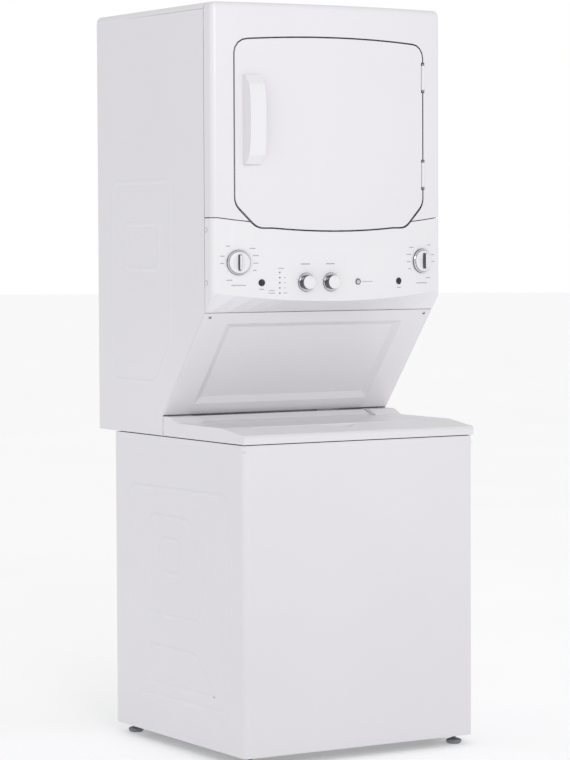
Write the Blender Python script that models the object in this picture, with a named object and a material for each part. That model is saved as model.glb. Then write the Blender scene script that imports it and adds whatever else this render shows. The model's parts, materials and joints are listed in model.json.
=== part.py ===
"""Full-width washer and dryer stack: a top-load washer below, a front-load tumble dryer above.

Metres, +Z up, +Y towards the back, +X to the viewer's right. The origin is on the floor, at the
middle of the overall footprint. Run with blender --background --python part.py.
"""

import math

import bmesh
import bpy
from mathutils import Matrix, Vector

# ---- overall sizes -------------------------------------------------------------------------------
WIDTH = 0.683
DEPTH = 0.784  # front of the washer's top cover to the end of the exhaust collar
HEIGHT = 1.896
FOOT_HEIGHT = 0.025  # floor to the lower edge of the washer cabinet
WASHER_WALL = 0.774  # height of the washer cabinet's walls
DRYER_BOX = 0.726  # dryer top down to the lower corners of the console
CONSOLE_HEIGHT = 0.188  # console at its outer corners
COLLAR_LENGTH = 0.018  # exhaust collar behind the dryer
REAR_OVERHANG = 0.092  # dryer cabinet behind the washer cabinet
DRYER_SETBACK = 0.150  # washer front to the dryer's front corners

# ---- sheet, gaps and fillets ---------------------------------------------------------------------
SHEET = 0.0012  # steel sheet
PANEL = 0.002  # moulded or doubled panels
GAP = 0.0006  # between fixed neighbours
RUNNING = 0.0006  # radial clearance round a turning shaft
SEAM = 0.0025  # visible joint line between covers

# ---- washer top cover and lid --------------------------------------------------------------------
COVER_OVERHANG = 0.003
COVER_DEPTH = 0.412
COVER_FRONT = 0.026  # height of the cover's front edge
COVER_RAIL = 0.038  # height of its side rails
SHOULDER = 0.0525  # height of the two hinge shoulders
SHOULDER_DEPTH = 0.042
COVER_SLOPE = 0.092  # depth of the sloping strip in front of the lid
COVER_NOSE = 0.018  # from the front face to the start of the slope
LID_WIDTH = 0.524
LID_THICKNESS = 0.0135
LID_SKIN = 0.0012
LID_RIM = 0.006
LID_FRONT_INSET = 0.103  # cover front to the lid's front edge
LID_BARREL_RADIUS = 0.0105
LID_CLEARANCE = 0.0035
LID_PIN_RADIUS = 0.004
LID_PIN_LENGTH = 0.016
LID_SEAT_GAP = 0.001
MOUTH_WIDTH = 0.440  # loading opening under the lid
MOUTH_MARGIN = 0.026  # lid edge to the loading opening
SCOOP_RADIUS = 0.120
SCOOP_DEPTH = 0.018
SCOOP_BLOCK = 0.130
COVER_WALL = 0.002

# ---- dryer front, door and console ---------------------------------------------------------------
FRONT_BOW = 0.030
CONSOLE_SAG = 0.022
CORNER_RADIUS = 0.014
TOP_RADIUS = 0.016
RETURN_DEPTH = 0.040  # the front covers' side returns
STRIPS = 14
CORNER_STEPS = 4
CREASE_DROP = 0.074  # console top corner to its crease
CREASE_BULGE = 0.007  # the console's flat face stands this far in front of its top edge
DOOR_WIDTH = 0.560
DOOR_HEIGHT = 0.484  # at the middle
DOOR_TOP_DROP = 0.085  # dryer top to the door's top edge, at the middle
DOOR_ARCH = 0.008  # rise of the top edge and drop of the lower edge
DOOR_CORNER = 0.034
DOOR_CHAMFER = 0.060
DOOR_CHAMFER_RADIUS = 0.040
DOOR_GAP = 0.004
DOOR_DEPTH = 0.018
DOOR_SKIN = 0.0012
DOOR_RIM = 0.0025
INNER_PANEL = 0.003
PLUG_DEPTH = 0.012
PLUG_CLEARANCE = 0.012
HANDLE_WIDTH = 0.045
HANDLE_HEIGHT = 0.222
HANDLE_REACH = 0.036
HANDLE_WALL = 0.005
HANDLE_EDGE = 0.010  # its thickness where it meets the door
HANDLE_SIDE = 0.021  # door edge to the handle
HANDLE_DROP = 0.097  # door top edge to the handle
HINGE_RADIUS = 0.0045
HINGE_PIN_RADIUS = 0.002
HINGE_HEIGHT = 0.062
HINGE_UPPER_DROP = 0.060  # door top edge to the upper hinge
HINGE_LOWER_DROP = 0.310
HINGE_PROUD = 0.0045
HINGE_NOTCH = 0.0015
HINGE_PLATE = 0.0012
HINGE_PLATE_DEPTH = 0.014

# ---- slanted panel -------------------------------------------------------------------------------
DISH_MARGIN = 0.078  # panel side to the dished field
DISH_END = 0.036  # panel top and bottom to the dished field
DISH_DEPTH = 0.008
DISH_SLOPE = 0.018

# ---- knobs and buttons ---------------------------------------------------------------------------
DIAL_SIDE = 0.0675  # cabinet side to the two big dials
DIAL_RISE = 0.0775  # console lower corner to the big dials
DIAL_RADIUS = 0.031
DIAL_CAP_RADIUS = 0.0262
DIAL_SKIRT = 0.006
DIAL_CAP = 0.011
FIN_WIDTH = 0.009
FIN_REACH = 0.019
SMALL_RISE = 0.0265  # console lower corner to the row of small controls
SMALL_OFFSETS = (-0.090, -0.018)  # the two small knobs
SMALL_RADIUS = 0.0232
SMALL_CAP_RADIUS = 0.017
SMALL_SKIRT = 0.0045
SMALL_CAP = 0.0175
BUTTON_OFFSETS = (-0.2153, 0.196)
BUTTON_RADIUS = 0.0068
BUTTON_PROUD = 0.0032
BUTTON_DEPTH = 0.012
STEM_RADIUS = 0.0035
STEM_DEPTH = 0.016
FACE_GAP = 0.0007

# ---- dryer works ---------------------------------------------------------------------------------
DRUM_SIDE_GAP = 0.030
DRUM_TOP_GAP = 0.030
DRUM_ABOVE_CONSOLE = 0.066  # least height of the drum over the console's bottom edge
DRUM_WALL = 0.0015
LIP_CLEARANCE = 0.003  # drum's front lip round the throat
DRUM_SHAFT_RADIUS = 0.008
DRUM_SHAFT_LENGTH = 0.016
DRUM_SIDES = 30
BAFFLE_HEIGHT = 0.055
BAFFLE_WIDTH = 0.034
BAFFLE_INSET = 0.050
BULKHEAD_SETBACK = 0.018  # dryer front corners to the front bulkhead
LINT_SPACE = 0.030  # front bulkhead to the drum
HEATER_SPACE = 0.055
HEATER_RADIUS = 0.200
HEATER_HUB = 0.034
THROAT_RADIUS = 0.200
THROAT_WALL = 0.004
THROAT_OVERLAP = 0.014
THROAT_SIDES = 28
BEARING_RADIUS = 0.022
BLOWER_RADIUS = 0.086
BLOWER_DEPTH = 0.064
BLOWER_WALL = 0.0015
BLOWER_SIDE_GAP = 0.014
BLOWER_DRUM_GAP = 0.012
BLOWER_FLOOR_GAP = 0.020
OUTLET_FLOOR_GAP = 0.006
OUTLET_LENGTH = 0.395
OUTLET_HEIGHT = 0.108
WHEEL_RADIUS = 0.072
WHEEL_BLADES = 8
INLET_RADIUS = 0.050
DUCT_RADIUS = 0.0508
DUCT_WALL = 0.0012
MOTOR_RADIUS = 0.060
MOTOR_LENGTH = 0.130
MOTOR_SHAFT_RADIUS = 0.006
PULLEY_RADIUS = 0.012
BELT_BEHIND = 0.026  # motor to the belt
BELT_WIDTH = 0.010
BELT_THICKNESS = 0.0025
BELT_CLEARANCE = 0.0006
IDLER_RADIUS = 0.022
IDLER_PLACE = 0.62  # along the belt's lower run
IDLER_ARM_WIDTH = 0.014
IDLER_ARM_THICKNESS = 0.003
IDLER_PIN_RADIUS = 0.004
IDLER_PRESS = 0.003  # how far the roller pushes the belt out
IDLER_PIVOT = 0.035  # motor axis to the arm's pivot, across and down
PAN_FLANGE = 0.030
FILTER_WIDTH = 0.240
FILTER_HEIGHT = 0.150
FILTER_THICKNESS = 0.010
FILTER_GRIP = 0.012
FILTER_CLEARANCE = 0.002
LINT_WALL = 0.0015

# ---- washer works --------------------------------------------------------------------------------
TUB_SIDE_GAP = 0.042
TUB_TOP_GAP = 0.035
TUB_WALL = 0.004
TUB_SIDES = 32
MACHINERY = 0.235  # cabinet lower edge to the tub's floor
SHAFT_BORE = 0.014
TUB_COVER_HEIGHT = 0.012
MOUTH_RADIUS = 0.215
BASKET_GAP = 0.016
BASKET_RISE = 0.030
BASKET_DROP = 0.030
BASKET_WALL = 0.0015
RING_WIDTH = 0.042
RING_HEIGHT = 0.045
AGITATOR_BASE = 0.165
AGITATOR_POST = 0.046
AGITATOR_HEIGHT = 0.340
AGITATOR_SIDES = 16
VANE_THICKNESS = 0.008
DRIVE_SHAFT_RADIUS = 0.0125
GEARCASE_RADIUS = 0.075
GEARCASE_HEIGHT = 0.100
DRIVE_PULLEY_RADIUS = 0.085
DRIVE_PULLEY_HEIGHT = 0.016
WASHER_MOTOR_RADIUS = 0.066
WASHER_MOTOR_REACH = 0.180
WASHER_PULLEY_RADIUS = 0.022
PUMP_RADIUS = 0.045
PUMP_HEIGHT = 0.085
ROD_RADIUS = 0.004
ROD_CLEARANCE = 0.0008
ROD_INSET = 0.068  # cabinet wall to the suspension rods
ROD_SEAT_RADIUS = 0.012
SLEEVE_RADIUS = 0.018
SLEEVE_HEIGHT = 0.080
LUG_HEIGHT = 0.022
LUG_RISE = 0.055
GUSSET = 0.165
GUSSET_THICKNESS = 0.002
BASE_RAIL = 0.045
RAIL_WALL = 0.0025  # the base's rails are channels, open below
BASE_HEIGHT = 0.035
LEG_INSET = 0.036
LEG_STUD_RADIUS = 0.005
LEG_STUD = 0.045
LEG_PAD_RADIUS = 0.020
LEG_PAD_HEIGHT = 0.014
VALVE_SPACING = 0.064
VALVE_RADIUS = 0.0133
VALVE_REACH = 0.020
VALVE_DROP = 0.095
VALVE_CLEARANCE = 0.006  # valve body to the tub

# ---- places worked out from the sizes ------------------------------------------------------------
HALF = WIDTH / 2
FRONT_Y = -DEPTH / 2
BACK_Y = DEPTH / 2
DRYER_BACK_Y = BACK_Y - COLLAR_LENGTH
DRYER_FRONT_Y = FRONT_Y + DRYER_SETBACK
RETURN_Y = DRYER_FRONT_Y + RETURN_DEPTH
WASHER_FRONT_Y = FRONT_Y + COVER_OVERHANG
WASHER_BACK_Y = DRYER_BACK_Y - REAR_OVERHANG
WASHER_TOP = FOOT_HEIGHT + WASHER_WALL
COVER_BASE = WASHER_TOP + SEAM
COVER_BACK_Y = FRONT_Y + COVER_DEPTH
RAIL_TOP = WASHER_TOP + COVER_RAIL
SHOULDER_TOP = WASHER_TOP + SHOULDER
CONSOLE_BOTTOM = HEIGHT - DRYER_BOX
CONSOLE_TOP = CONSOLE_BOTTOM + CONSOLE_HEIGHT
FLAT_HALF = HALF - CORNER_RADIUS
INNER_HALF = HALF - SHEET - GAP  # for what fits between the cabinet walls
SLANT_FOOT = Vector((0, COVER_BACK_Y + SEAM, SHOULDER_TOP))
SLANT_HEAD = Vector((0, DRYER_FRONT_Y, CONSOLE_BOTTOM))
SLANT = (SLANT_FOOT - SLANT_HEAD).normalized()
SLANT_OUT = Vector((0, SLANT.z, -SLANT.y))  # normal of the slanted panel, towards the front

DOOR_TOP = HEIGHT - DOOR_TOP_DROP
DOOR_BOTTOM = DOOR_TOP - DOOR_HEIGHT
DOOR_HALF = DOOR_WIDTH / 2
HINGE_X = DOOR_HALF + DOOR_GAP / 2

LID_HALF = LID_WIDTH / 2
LID_FRONT_Y = FRONT_Y + LID_FRONT_INSET
LID_AXIS_Y = COVER_BACK_Y - LID_BARREL_RADIUS - LID_CLEARANCE
LID_AXIS_Z = SHOULDER_TOP - LID_BARREL_RADIUS - LID_SEAT_GAP
SEAT_Z = RAIL_TOP - LID_THICKNESS - LID_SEAT_GAP

DRUM_RADIUS = min(HALF - SHEET - DRUM_SIDE_GAP,
                  (HEIGHT - SHEET - DRUM_TOP_GAP - CONSOLE_BOTTOM - DRUM_ABOVE_CONSOLE) / 2)
DRUM_Z = HEIGHT - SHEET - DRUM_TOP_GAP - DRUM_RADIUS
BULKHEAD_Y = DRYER_FRONT_Y + BULKHEAD_SETBACK
DRUM_FRONT_Y = BULKHEAD_Y + SHEET + LINT_SPACE
REAR_BULKHEAD_Y = DRYER_BACK_Y - SHEET - HEATER_SPACE
DRUM_BACK_Y = REAR_BULKHEAD_Y - DRUM_TOP_GAP / 3
MOTOR_X = INNER_HALF - BLOWER_SIDE_GAP - BLOWER_RADIUS
MOTOR_Z = DRUM_Z - math.sqrt((DRUM_RADIUS + BLOWER_RADIUS + BLOWER_DRUM_GAP) ** 2 - MOTOR_X**2)
PAN_Z = min(MOTOR_Z - BLOWER_RADIUS - BLOWER_FLOOR_GAP,  # top face of the dryer's floor pan
            DRUM_Z - DRUM_RADIUS - BLOWER_DRUM_GAP - OUTLET_HEIGHT - OUTLET_FLOOR_GAP)
BLOWER_Y = DRUM_FRONT_Y + LINT_SPACE
OUTLET_LOW = PAN_Z + OUTLET_FLOOR_GAP
DUCT_X = MOTOR_X - OUTLET_LENGTH + OUTLET_HEIGHT / 2
DUCT_Z = OUTLET_LOW + OUTLET_HEIGHT / 2
MOTOR_Y = BLOWER_Y + BLOWER_DEPTH + 0.020
BELT_Y = MOTOR_Y + MOTOR_LENGTH + BELT_BEHIND
FILTER_Y = BULKHEAD_Y + SHEET + LINT_SPACE / 2

WASHER_MID_Y = (WASHER_FRONT_Y + WASHER_BACK_Y) / 2
TUB_RADIUS = min(WIDTH, WASHER_BACK_Y - WASHER_FRONT_Y) / 2 - TUB_SIDE_GAP
TUB_FLOOR = FOOT_HEIGHT + MACHINERY
TUB_TOP = WASHER_TOP - TUB_TOP_GAP
BASKET_RADIUS = TUB_RADIUS - TUB_WALL - BASKET_GAP
BASKET_FLOOR = TUB_FLOOR + BASKET_RISE
BASKET_TOP = TUB_TOP - BASKET_DROP
PULLEY_TOP = TUB_FLOOR - GAP - GEARCASE_HEIGHT - 0.014
ROD_X = INNER_HALF - ROD_INSET
ROD_Y = (WASHER_BACK_Y - WASHER_FRONT_Y) / 2 - ROD_INSET
ROD_TOP = WASHER_TOP - 0.010


# ---- tools ---------------------------------------------------------------------------------------
def finish(name, form, material, outward=True):
    """One object from a bmesh, with its material; outward turns its faces out."""
    bmesh.ops.remove_doubles(form, verts=form.verts, dist=1e-6)
    if outward:
        bmesh.ops.recalc_face_normals(form, faces=form.faces)
    mesh = bpy.data.meshes.new(name)
    form.to_mesh(mesh)
    form.free()
    mesh.shade_smooth()
    mesh.set_sharp_from_angle(angle=math.radians(32))
    made = bpy.data.objects.new(name, mesh)
    bpy.context.scene.collection.objects.link(made)
    if material:
        mesh.materials.append(MATERIALS[material])
    return made


def along(axis, u, v, w):
    """A point from a place (u, v) in the plane across an axis and a place w on it."""
    return {"X": Vector((w, u, v)), "Y": Vector((u, w, v)), "Z": Vector((u, v, w))}[axis]


def prism(name, outline, axis, low, high, material=None):
    """An outline in the plane across an axis, extruded from low to high."""
    form = bmesh.new()
    face = form.faces.new([form.verts.new(along(axis, u, v, low)) for u, v in outline])
    raised = bmesh.ops.extrude_face_region(form, geom=[face])["geom"]
    moved = [g for g in raised if isinstance(g, bmesh.types.BMVert)]
    bmesh.ops.translate(form, verts=moved, vec=along(axis, 0, 0, high - low))
    return finish(name, form, material)


def box(name, low, high, material=None):
    outline = [(low[0], low[1]), (high[0], low[1]), (high[0], high[1]), (low[0], high[1])]
    return prism(name, outline, "Z", low[2], high[2], material)


def tube(name, outer, inner, axis, low, high, material=None):
    """The ring between two outlines of as many points, extruded from low to high."""
    form = bmesh.new()
    loops = []
    for outline in (outer, inner):
        points = [form.verts.new(along(axis, u, v, low)) for u, v in outline]
        loops += [form.edges.new((a, b)) for a, b in zip(points, points[1:] + points[:1])]
    ring = bmesh.ops.bridge_loops(form, edges=loops)["faces"]
    raised = bmesh.ops.extrude_face_region(form, geom=ring)["geom"]
    moved = [g for g in raised if isinstance(g, bmesh.types.BMVert)]
    bmesh.ops.translate(form, verts=moved, vec=along(axis, 0, 0, high - low))
    return finish(name, form, material)


def turned(name, profile, centre, axis, sides, material=None, closed=False, turn=0.0):
    """A profile of (radius, height) points spun round an axis through centre.

    A closed profile makes a ring; an open one starts and ends on the axis."""
    form = bmesh.new()
    points = [form.verts.new((r, 0, h)) for r, h in profile]
    pairs = list(zip(points, points[1:]))
    if closed:
        pairs.append((points[-1], points[0]))
    edges = [form.edges.new(pair) for pair in pairs]
    bmesh.ops.spin(form, geom=points + edges, axis=(0, 0, 1), cent=(0, 0, 0),
                   angle=2 * math.pi, steps=sides, use_merge=True)
    lay = {"X": Matrix.Rotation(math.pi / 2, 4, "Y"), "Y": Matrix.Rotation(-math.pi / 2, 4, "X"),
           "Z": Matrix.Identity(4)}[axis]
    spun = lay @ Matrix.Rotation(turn, 4, "Z")
    bmesh.ops.transform(form, matrix=Matrix.Translation(centre) @ spun, verts=form.verts)
    return finish(name, form, material)


def rod(name, radius, low, high, centre, axis, sides, material=None):
    """A plain cylinder from low to high along an axis through centre."""
    profile = [(0, low), (radius, low), (radius, high), (0, high)]
    return turned(name, profile, centre, axis, sides, material)


def combine(target, other, operation):
    step = target.modifiers.new(operation.lower(), "BOOLEAN")
    step.operation = operation
    step.object = other
    step.solver = "EXACT"
    other.hide_render = True
    other.display_type = "WIRE"
    return settle(target)


def cut(target, *cutters):
    for cutter in cutters:
        combine(target, cutter, "DIFFERENCE")
    return target


def join(target, *others):
    for other in others:
        combine(target, other, "UNION")
    return target


def settle(made):
    """Applies an object's modifiers, so that later steps can move its points."""
    graph = bpy.context.evaluated_depsgraph_get()
    mesh = bpy.data.meshes.new_from_object(made.evaluated_get(graph))
    made.modifiers.clear()
    form = bmesh.new()
    form.from_mesh(mesh)
    bmesh.ops.remove_doubles(form, verts=form.verts, dist=1e-4)
    bmesh.ops.dissolve_degenerate(form, edges=form.edges, dist=1e-4)
    bmesh.ops.triangulate(form, faces=[face for face in form.faces if len(face.verts) > 4])
    form.to_mesh(mesh)
    form.free()
    made.data = mesh
    return made


def rectangle(low_u, low_v, high_u, high_v):
    return [(low_u, low_v), (high_u, low_v), (high_u, high_v), (low_u, high_v)]


def rounded(corners, steps=4):
    """An outline from (u, v, radius) corners, each turned into an arc."""
    outline = []
    count = len(corners)
    for i, (u, v, radius) in enumerate(corners):
        here = Vector((u, v))
        before = (Vector(corners[i - 1][:2]) - here).normalized()
        after = (Vector(corners[(i + 1) % count][:2]) - here).normalized()
        if radius == 0:
            outline.append((u, v))
            continue
        half = before.angle(after) / 2
        middle = here + (before + after).normalized() * radius / math.sin(half)
        start = here + before * radius / math.tan(half) - middle
        end = here + after * radius / math.tan(half) - middle
        sweep = start.angle_signed(end)
        for k in range(steps + 1):
            arm = start.copy()
            arm.rotate(Matrix.Rotation(-sweep * k / steps, 2))
            outline.append(tuple(middle + arm))
    return outline


# ---- materials -----------------------------------------------------------------------------------
def material(name, colour, roughness, metallic=0.0):
    made = bpy.data.materials.new(name)
    made.use_nodes = True
    shader = made.node_tree.nodes["Principled BSDF"]
    shader.inputs["Base Color"].default_value = (*colour, 1)
    shader.inputs["Roughness"].default_value = roughness
    shader.inputs["Metallic"].default_value = metallic
    return made


MATERIALS = {}


def make_materials():
    white = (0.82, 0.82, 0.83)
    for name, colour, roughness, metallic in (
        ("white_enamel", white, 0.30, 0.0),
        ("white_plastic", (0.85, 0.85, 0.86), 0.35, 0.0),
        ("galvanised", (0.60, 0.61, 0.62), 0.45, 0.9),
        ("drum_enamel", (0.75, 0.76, 0.76), 0.35, 0.0),
        ("chrome", (0.75, 0.75, 0.76), 0.12, 1.0),
        ("grey_plastic", (0.30, 0.31, 0.32), 0.50, 0.0),
        ("black_plastic", (0.03, 0.03, 0.03), 0.45, 0.0),
        ("rubber", (0.03, 0.03, 0.03), 0.80, 0.0),
        ("steel", (0.55, 0.55, 0.56), 0.35, 1.0),
        ("stainless", (0.62, 0.62, 0.63), 0.30, 1.0),
        ("cast_aluminium", (0.55, 0.56, 0.57), 0.50, 0.9),
        ("tub_plastic", (0.78, 0.79, 0.80), 0.55, 0.0),
    ):
        MATERIALS[name] = material(name, colour, roughness, metallic)


# ---- the bowed front of the dryer ----------------------------------------------------------------
def bow(x):
    """How far the front stands forward of its corners."""
    return FRONT_BOW * max(0.0, 1 - (x / FLAT_HALF) ** 2)


def front_y(x):
    return DRYER_FRONT_Y - bow(x)


def console_y(x):
    """The console's flat face below its crease."""
    return front_y(x) - bulge(x)


def face_turn(x):
    """Turn about Z that faces a control square to the console."""
    rise = 2 * FRONT_BOW * x / FLAT_HALF**2 + 4 * CREASE_BULGE * x**3 / FLAT_HALF**4
    return math.atan(rise)


def sag(x):
    return CONSOLE_SAG * max(0.0, 1 - (x / FLAT_HALF) ** 2)


def bulge(x):
    return CREASE_BULGE * max(0.0, 1 - (x / FLAT_HALF) ** 4)


def slant_z(y):
    """Height of the slanted panel's outer face, and of the console's underside, at a depth y."""
    return SLANT_HEAD.z + (y - SLANT_HEAD.y) * SLANT.z / SLANT.y


def slant_y(z):
    return SLANT_HEAD.y + (z - SLANT_HEAD.z) * SLANT.y / SLANT.z


def plan_path(inset):
    """The front's plan from the left return to the right one, moved inwards by inset."""
    half = HALF - inset
    radius = max(CORNER_RADIUS - inset, 0.1 * CORNER_RADIUS)
    flat = half - radius
    left = [(-half, RETURN_Y)]
    for k in range(CORNER_STEPS + 1):
        angle = math.radians(180 + 80 * k / CORNER_STEPS)
        left.append((-flat + radius * math.cos(angle),
                     DRYER_FRONT_Y + inset + radius + radius * math.sin(angle)))
    front = []
    for k in range(STRIPS + 1):
        x = flat * (2 * k / STRIPS - 1)
        front.append((x, DRYER_FRONT_Y + inset - FRONT_BOW * (1 - (x / flat) ** 2)))
    right = [(-x, y) for x, y in reversed(left)]
    return left + front + right


def swept(name, rows, thickness, material_name):
    """A sheet through rows of points, given its thickness on the inner side."""
    form = bmesh.new()
    grid = [[form.verts.new(point) for point in row] for row in rows]
    for low, high in zip(grid, grid[1:]):
        for k in range(len(low) - 1):
            form.faces.new((low[k], low[k + 1], high[k + 1], high[k]))
    bmesh.ops.remove_doubles(form, verts=form.verts, dist=1e-6)
    bmesh.ops.dissolve_degenerate(form, edges=form.edges, dist=1e-6)
    made = finish(name, form, material_name, outward=False)
    skin = made.modifiers.new("skin", "SOLIDIFY")
    skin.thickness = thickness
    skin.offset = -1
    skin.use_even_offset = True
    return made


def bowed(made):
    """Cuts a flat-made piece into upright strips and bows it like the front."""
    settle(made)
    form = bmesh.new()
    form.from_mesh(made.data)
    for k in range(STRIPS + 1):
        x = FLAT_HALF * (2 * k / STRIPS - 1)
        bmesh.ops.bisect_plane(form, geom=form.verts[:] + form.edges[:] + form.faces[:],
                               dist=1e-7, plane_co=(x, 0, 0), plane_no=(1, 0, 0))
    for point in form.verts:
        point.co.y -= bow(point.co.x)
    form.to_mesh(made.data)
    form.free()
    made.data.shade_smooth()
    made.data.set_sharp_from_angle(angle=math.radians(32))
    return made


def door_outline(grow):
    """The door's outline as (x, z): an arched top, chamfered lower corners and a drooping lower edge."""
    half, top, low = DOOR_HALF + grow, DOOR_TOP + grow, DOOR_BOTTOM - grow
    steps = 8
    corner, chamfer = DOOR_CORNER + grow, DOOR_CHAMFER_RADIUS + grow
    shoulder = top - DOOR_ARCH
    foot = low + DOOR_ARCH
    slant = DOOR_CHAMFER
    corners = [(-half, foot + slant, chamfer), (-half + slant, foot, chamfer)]
    span = half - slant - chamfer
    corners += [(span * (2 * k / steps - 1), low + DOOR_ARCH * (2 * k / steps - 1) ** 2, 0)
                for k in range(steps + 1)]
    corners += [(half - slant, foot, chamfer), (half, foot + slant, chamfer), (half, shoulder, corner)]
    span = half - corner
    corners += [(span * (1 - 2 * k / steps), top - DOOR_ARCH * (1 - 2 * k / steps) ** 2, 0)
                for k in range(steps + 1)]
    corners.append((-half, shoulder, corner))
    return rounded(corners)


def hull(circles, grow, sides=40):
    """The taut outline round several circles (u, v, radius), each grown by the same amount.

    Its flats, not its corners, touch the grown circles, so a pulley of any facets turns inside it."""
    reach = 1 / math.cos(math.pi / sides)
    points = sorted({(round(u + (r + grow) * reach * math.cos(2 * math.pi * k / sides), 9),
                      round(v + (r + grow) * reach * math.sin(2 * math.pi * k / sides), 9))
                     for u, v, r in circles for k in range(sides)})

    def chain(ordered):
        kept = []
        for p in ordered:
            while len(kept) > 1 and ((kept[-1][0] - kept[-2][0]) * (p[1] - kept[-2][1])
                                     <= (kept[-1][1] - kept[-2][1]) * (p[0] - kept[-2][0])):
                kept.pop()
            kept.append(p)
        return kept[:-1]

    return chain(points) + chain(points[::-1])


def belt(name, circles, axis, low, high, sides=40):
    """A flat belt round circles, a little clear of them."""
    outer = prism(name, hull(circles, BELT_CLEARANCE + BELT_THICKNESS, sides), axis, low, high, "rubber")
    hollow = prism(name + "_inside", hull(circles, BELT_CLEARANCE, sides), axis, low - 0.01, high + 0.01)
    return cut(outer, hollow)


def place(made, x, y, z, turn=0.0):
    """Puts a piece made round its own origin where it belongs."""
    if made.modifiers:
        settle(made)
    made.location = (x, y, z)
    made.rotation_euler = (0, 0, turn)
    return made


# ---- washer --------------------------------------------------------------------------------------
def washer_body():
    low, high = FOOT_HEIGHT, WASHER_TOP
    front, back = WASHER_FRONT_Y, WASHER_BACK_Y
    outline = rounded([(-HALF, back, 0), (-HALF, front, CORNER_RADIUS), (HALF, front, CORNER_RADIUS),
                       (HALF, back, 0), (HALF - SHEET, back, 0),
                       (HALF - SHEET, front + SHEET, CORNER_RADIUS - SHEET),
                       (-HALF + SHEET, front + SHEET, CORNER_RADIUS - SHEET), (-HALF + SHEET, back, 0)])
    cabinet = prism("washer_cabinet", outline, "Z", low, high, "white_enamel")
    top = ROD_TOP - ROD_SEAT_RADIUS / 2
    for side in (-1, 1):
        for end, wall in ((-1, front), (1, back)):
            corner_x = side * (HALF - SHEET / 2)
            corner_y = wall - end * (SHEET / 2 if end < 0 else SHEET + 2 * GAP)
            plate = prism("gusset", [(corner_x, corner_y), (corner_x - side * GUSSET, corner_y),
                                     (corner_x, corner_y - end * GUSSET)],
                          "Z", top - GUSSET_THICKNESS, top)
            join(cabinet, plate)
            place_x, place_y = side * ROD_X, WASHER_MID_Y + end * ROD_Y
            cut(cabinet, rod("rod_hole", ROD_RADIUS + ROD_CLEARANCE, top - 0.02, top + 0.02,
                             (place_x, place_y, 0), "Z", 8))

    panel = box("washer_back_panel", (-INNER_HALF, back - SHEET, low),
                (INNER_HALF, back, high), "galvanised")
    for side in (-1, 1):
        cut(panel, rod("inlet_hole", VALVE_RADIUS + GAP, -0.05, 0.05,
                       (side * VALVE_SPACING / 2, back, high - VALVE_DROP), "Y", 12))

    near, far = front + SHEET + GAP, back - SHEET - GAP
    edge = rounded([(-INNER_HALF, near, CORNER_RADIUS), (INNER_HALF, near, CORNER_RADIUS),
                    (INNER_HALF, far, 0), (-INNER_HALF, far, 0)])
    frame = prism("base_frame", edge, "Z", low + GAP, low + BASE_HEIGHT, "galvanised")
    rail = BASE_RAIL
    cut(frame, box("frame_opening", (-INNER_HALF + rail, near + rail, 0),
                   (INNER_HALF - rail, far - rail, low + 2 * BASE_HEIGHT)))
    ceiling, wall = low + BASE_HEIGHT - RAIL_WALL, RAIL_WALL
    block = rail + LEG_INSET  # the corners stay solid round the feet
    for side in (-1, 1):
        x = sorted((side * (INNER_HALF - wall), side * (INNER_HALF - rail + wall)))
        cut(frame, box("side_channel", (x[0], near + block, 0), (x[1], far - block, ceiling)))
    for y in ((near + wall, near + rail - wall), (far - rail + wall, far - wall)):
        cut(frame, box("end_channel", (-INNER_HALF + block, y[0], 0), (INNER_HALF - block, y[1], ceiling)))
    pad, stud, rise = LEG_PAD_RADIUS, LEG_STUD_RADIUS, LEG_PAD_HEIGHT
    profile = [(0, 0), (0.8 * pad, 0), (pad, 0.3 * rise), (pad, 0.7 * rise), (0.5 * pad, rise),
               (stud, rise), (stud, rise + LEG_STUD), (0, rise + LEG_STUD)]
    for side, hand in ((-1, "left"), (1, "right")):
        for wall, end, where in ((front, 1, "front"), (back, -1, "back")):
            x, y = side * (HALF - LEG_INSET), wall + end * LEG_INSET
            cut(frame, rod("leg_hole", stud + RUNNING, 0, 2 * BASE_HEIGHT + low, (x, y, 0), "Z", 12))
            leg = turned(f"leveling_foot_{where}_{hand}", profile, (0, 0, 0), "Z", 12, "grey_plastic")
            place(leg, x, y, 0)


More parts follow.
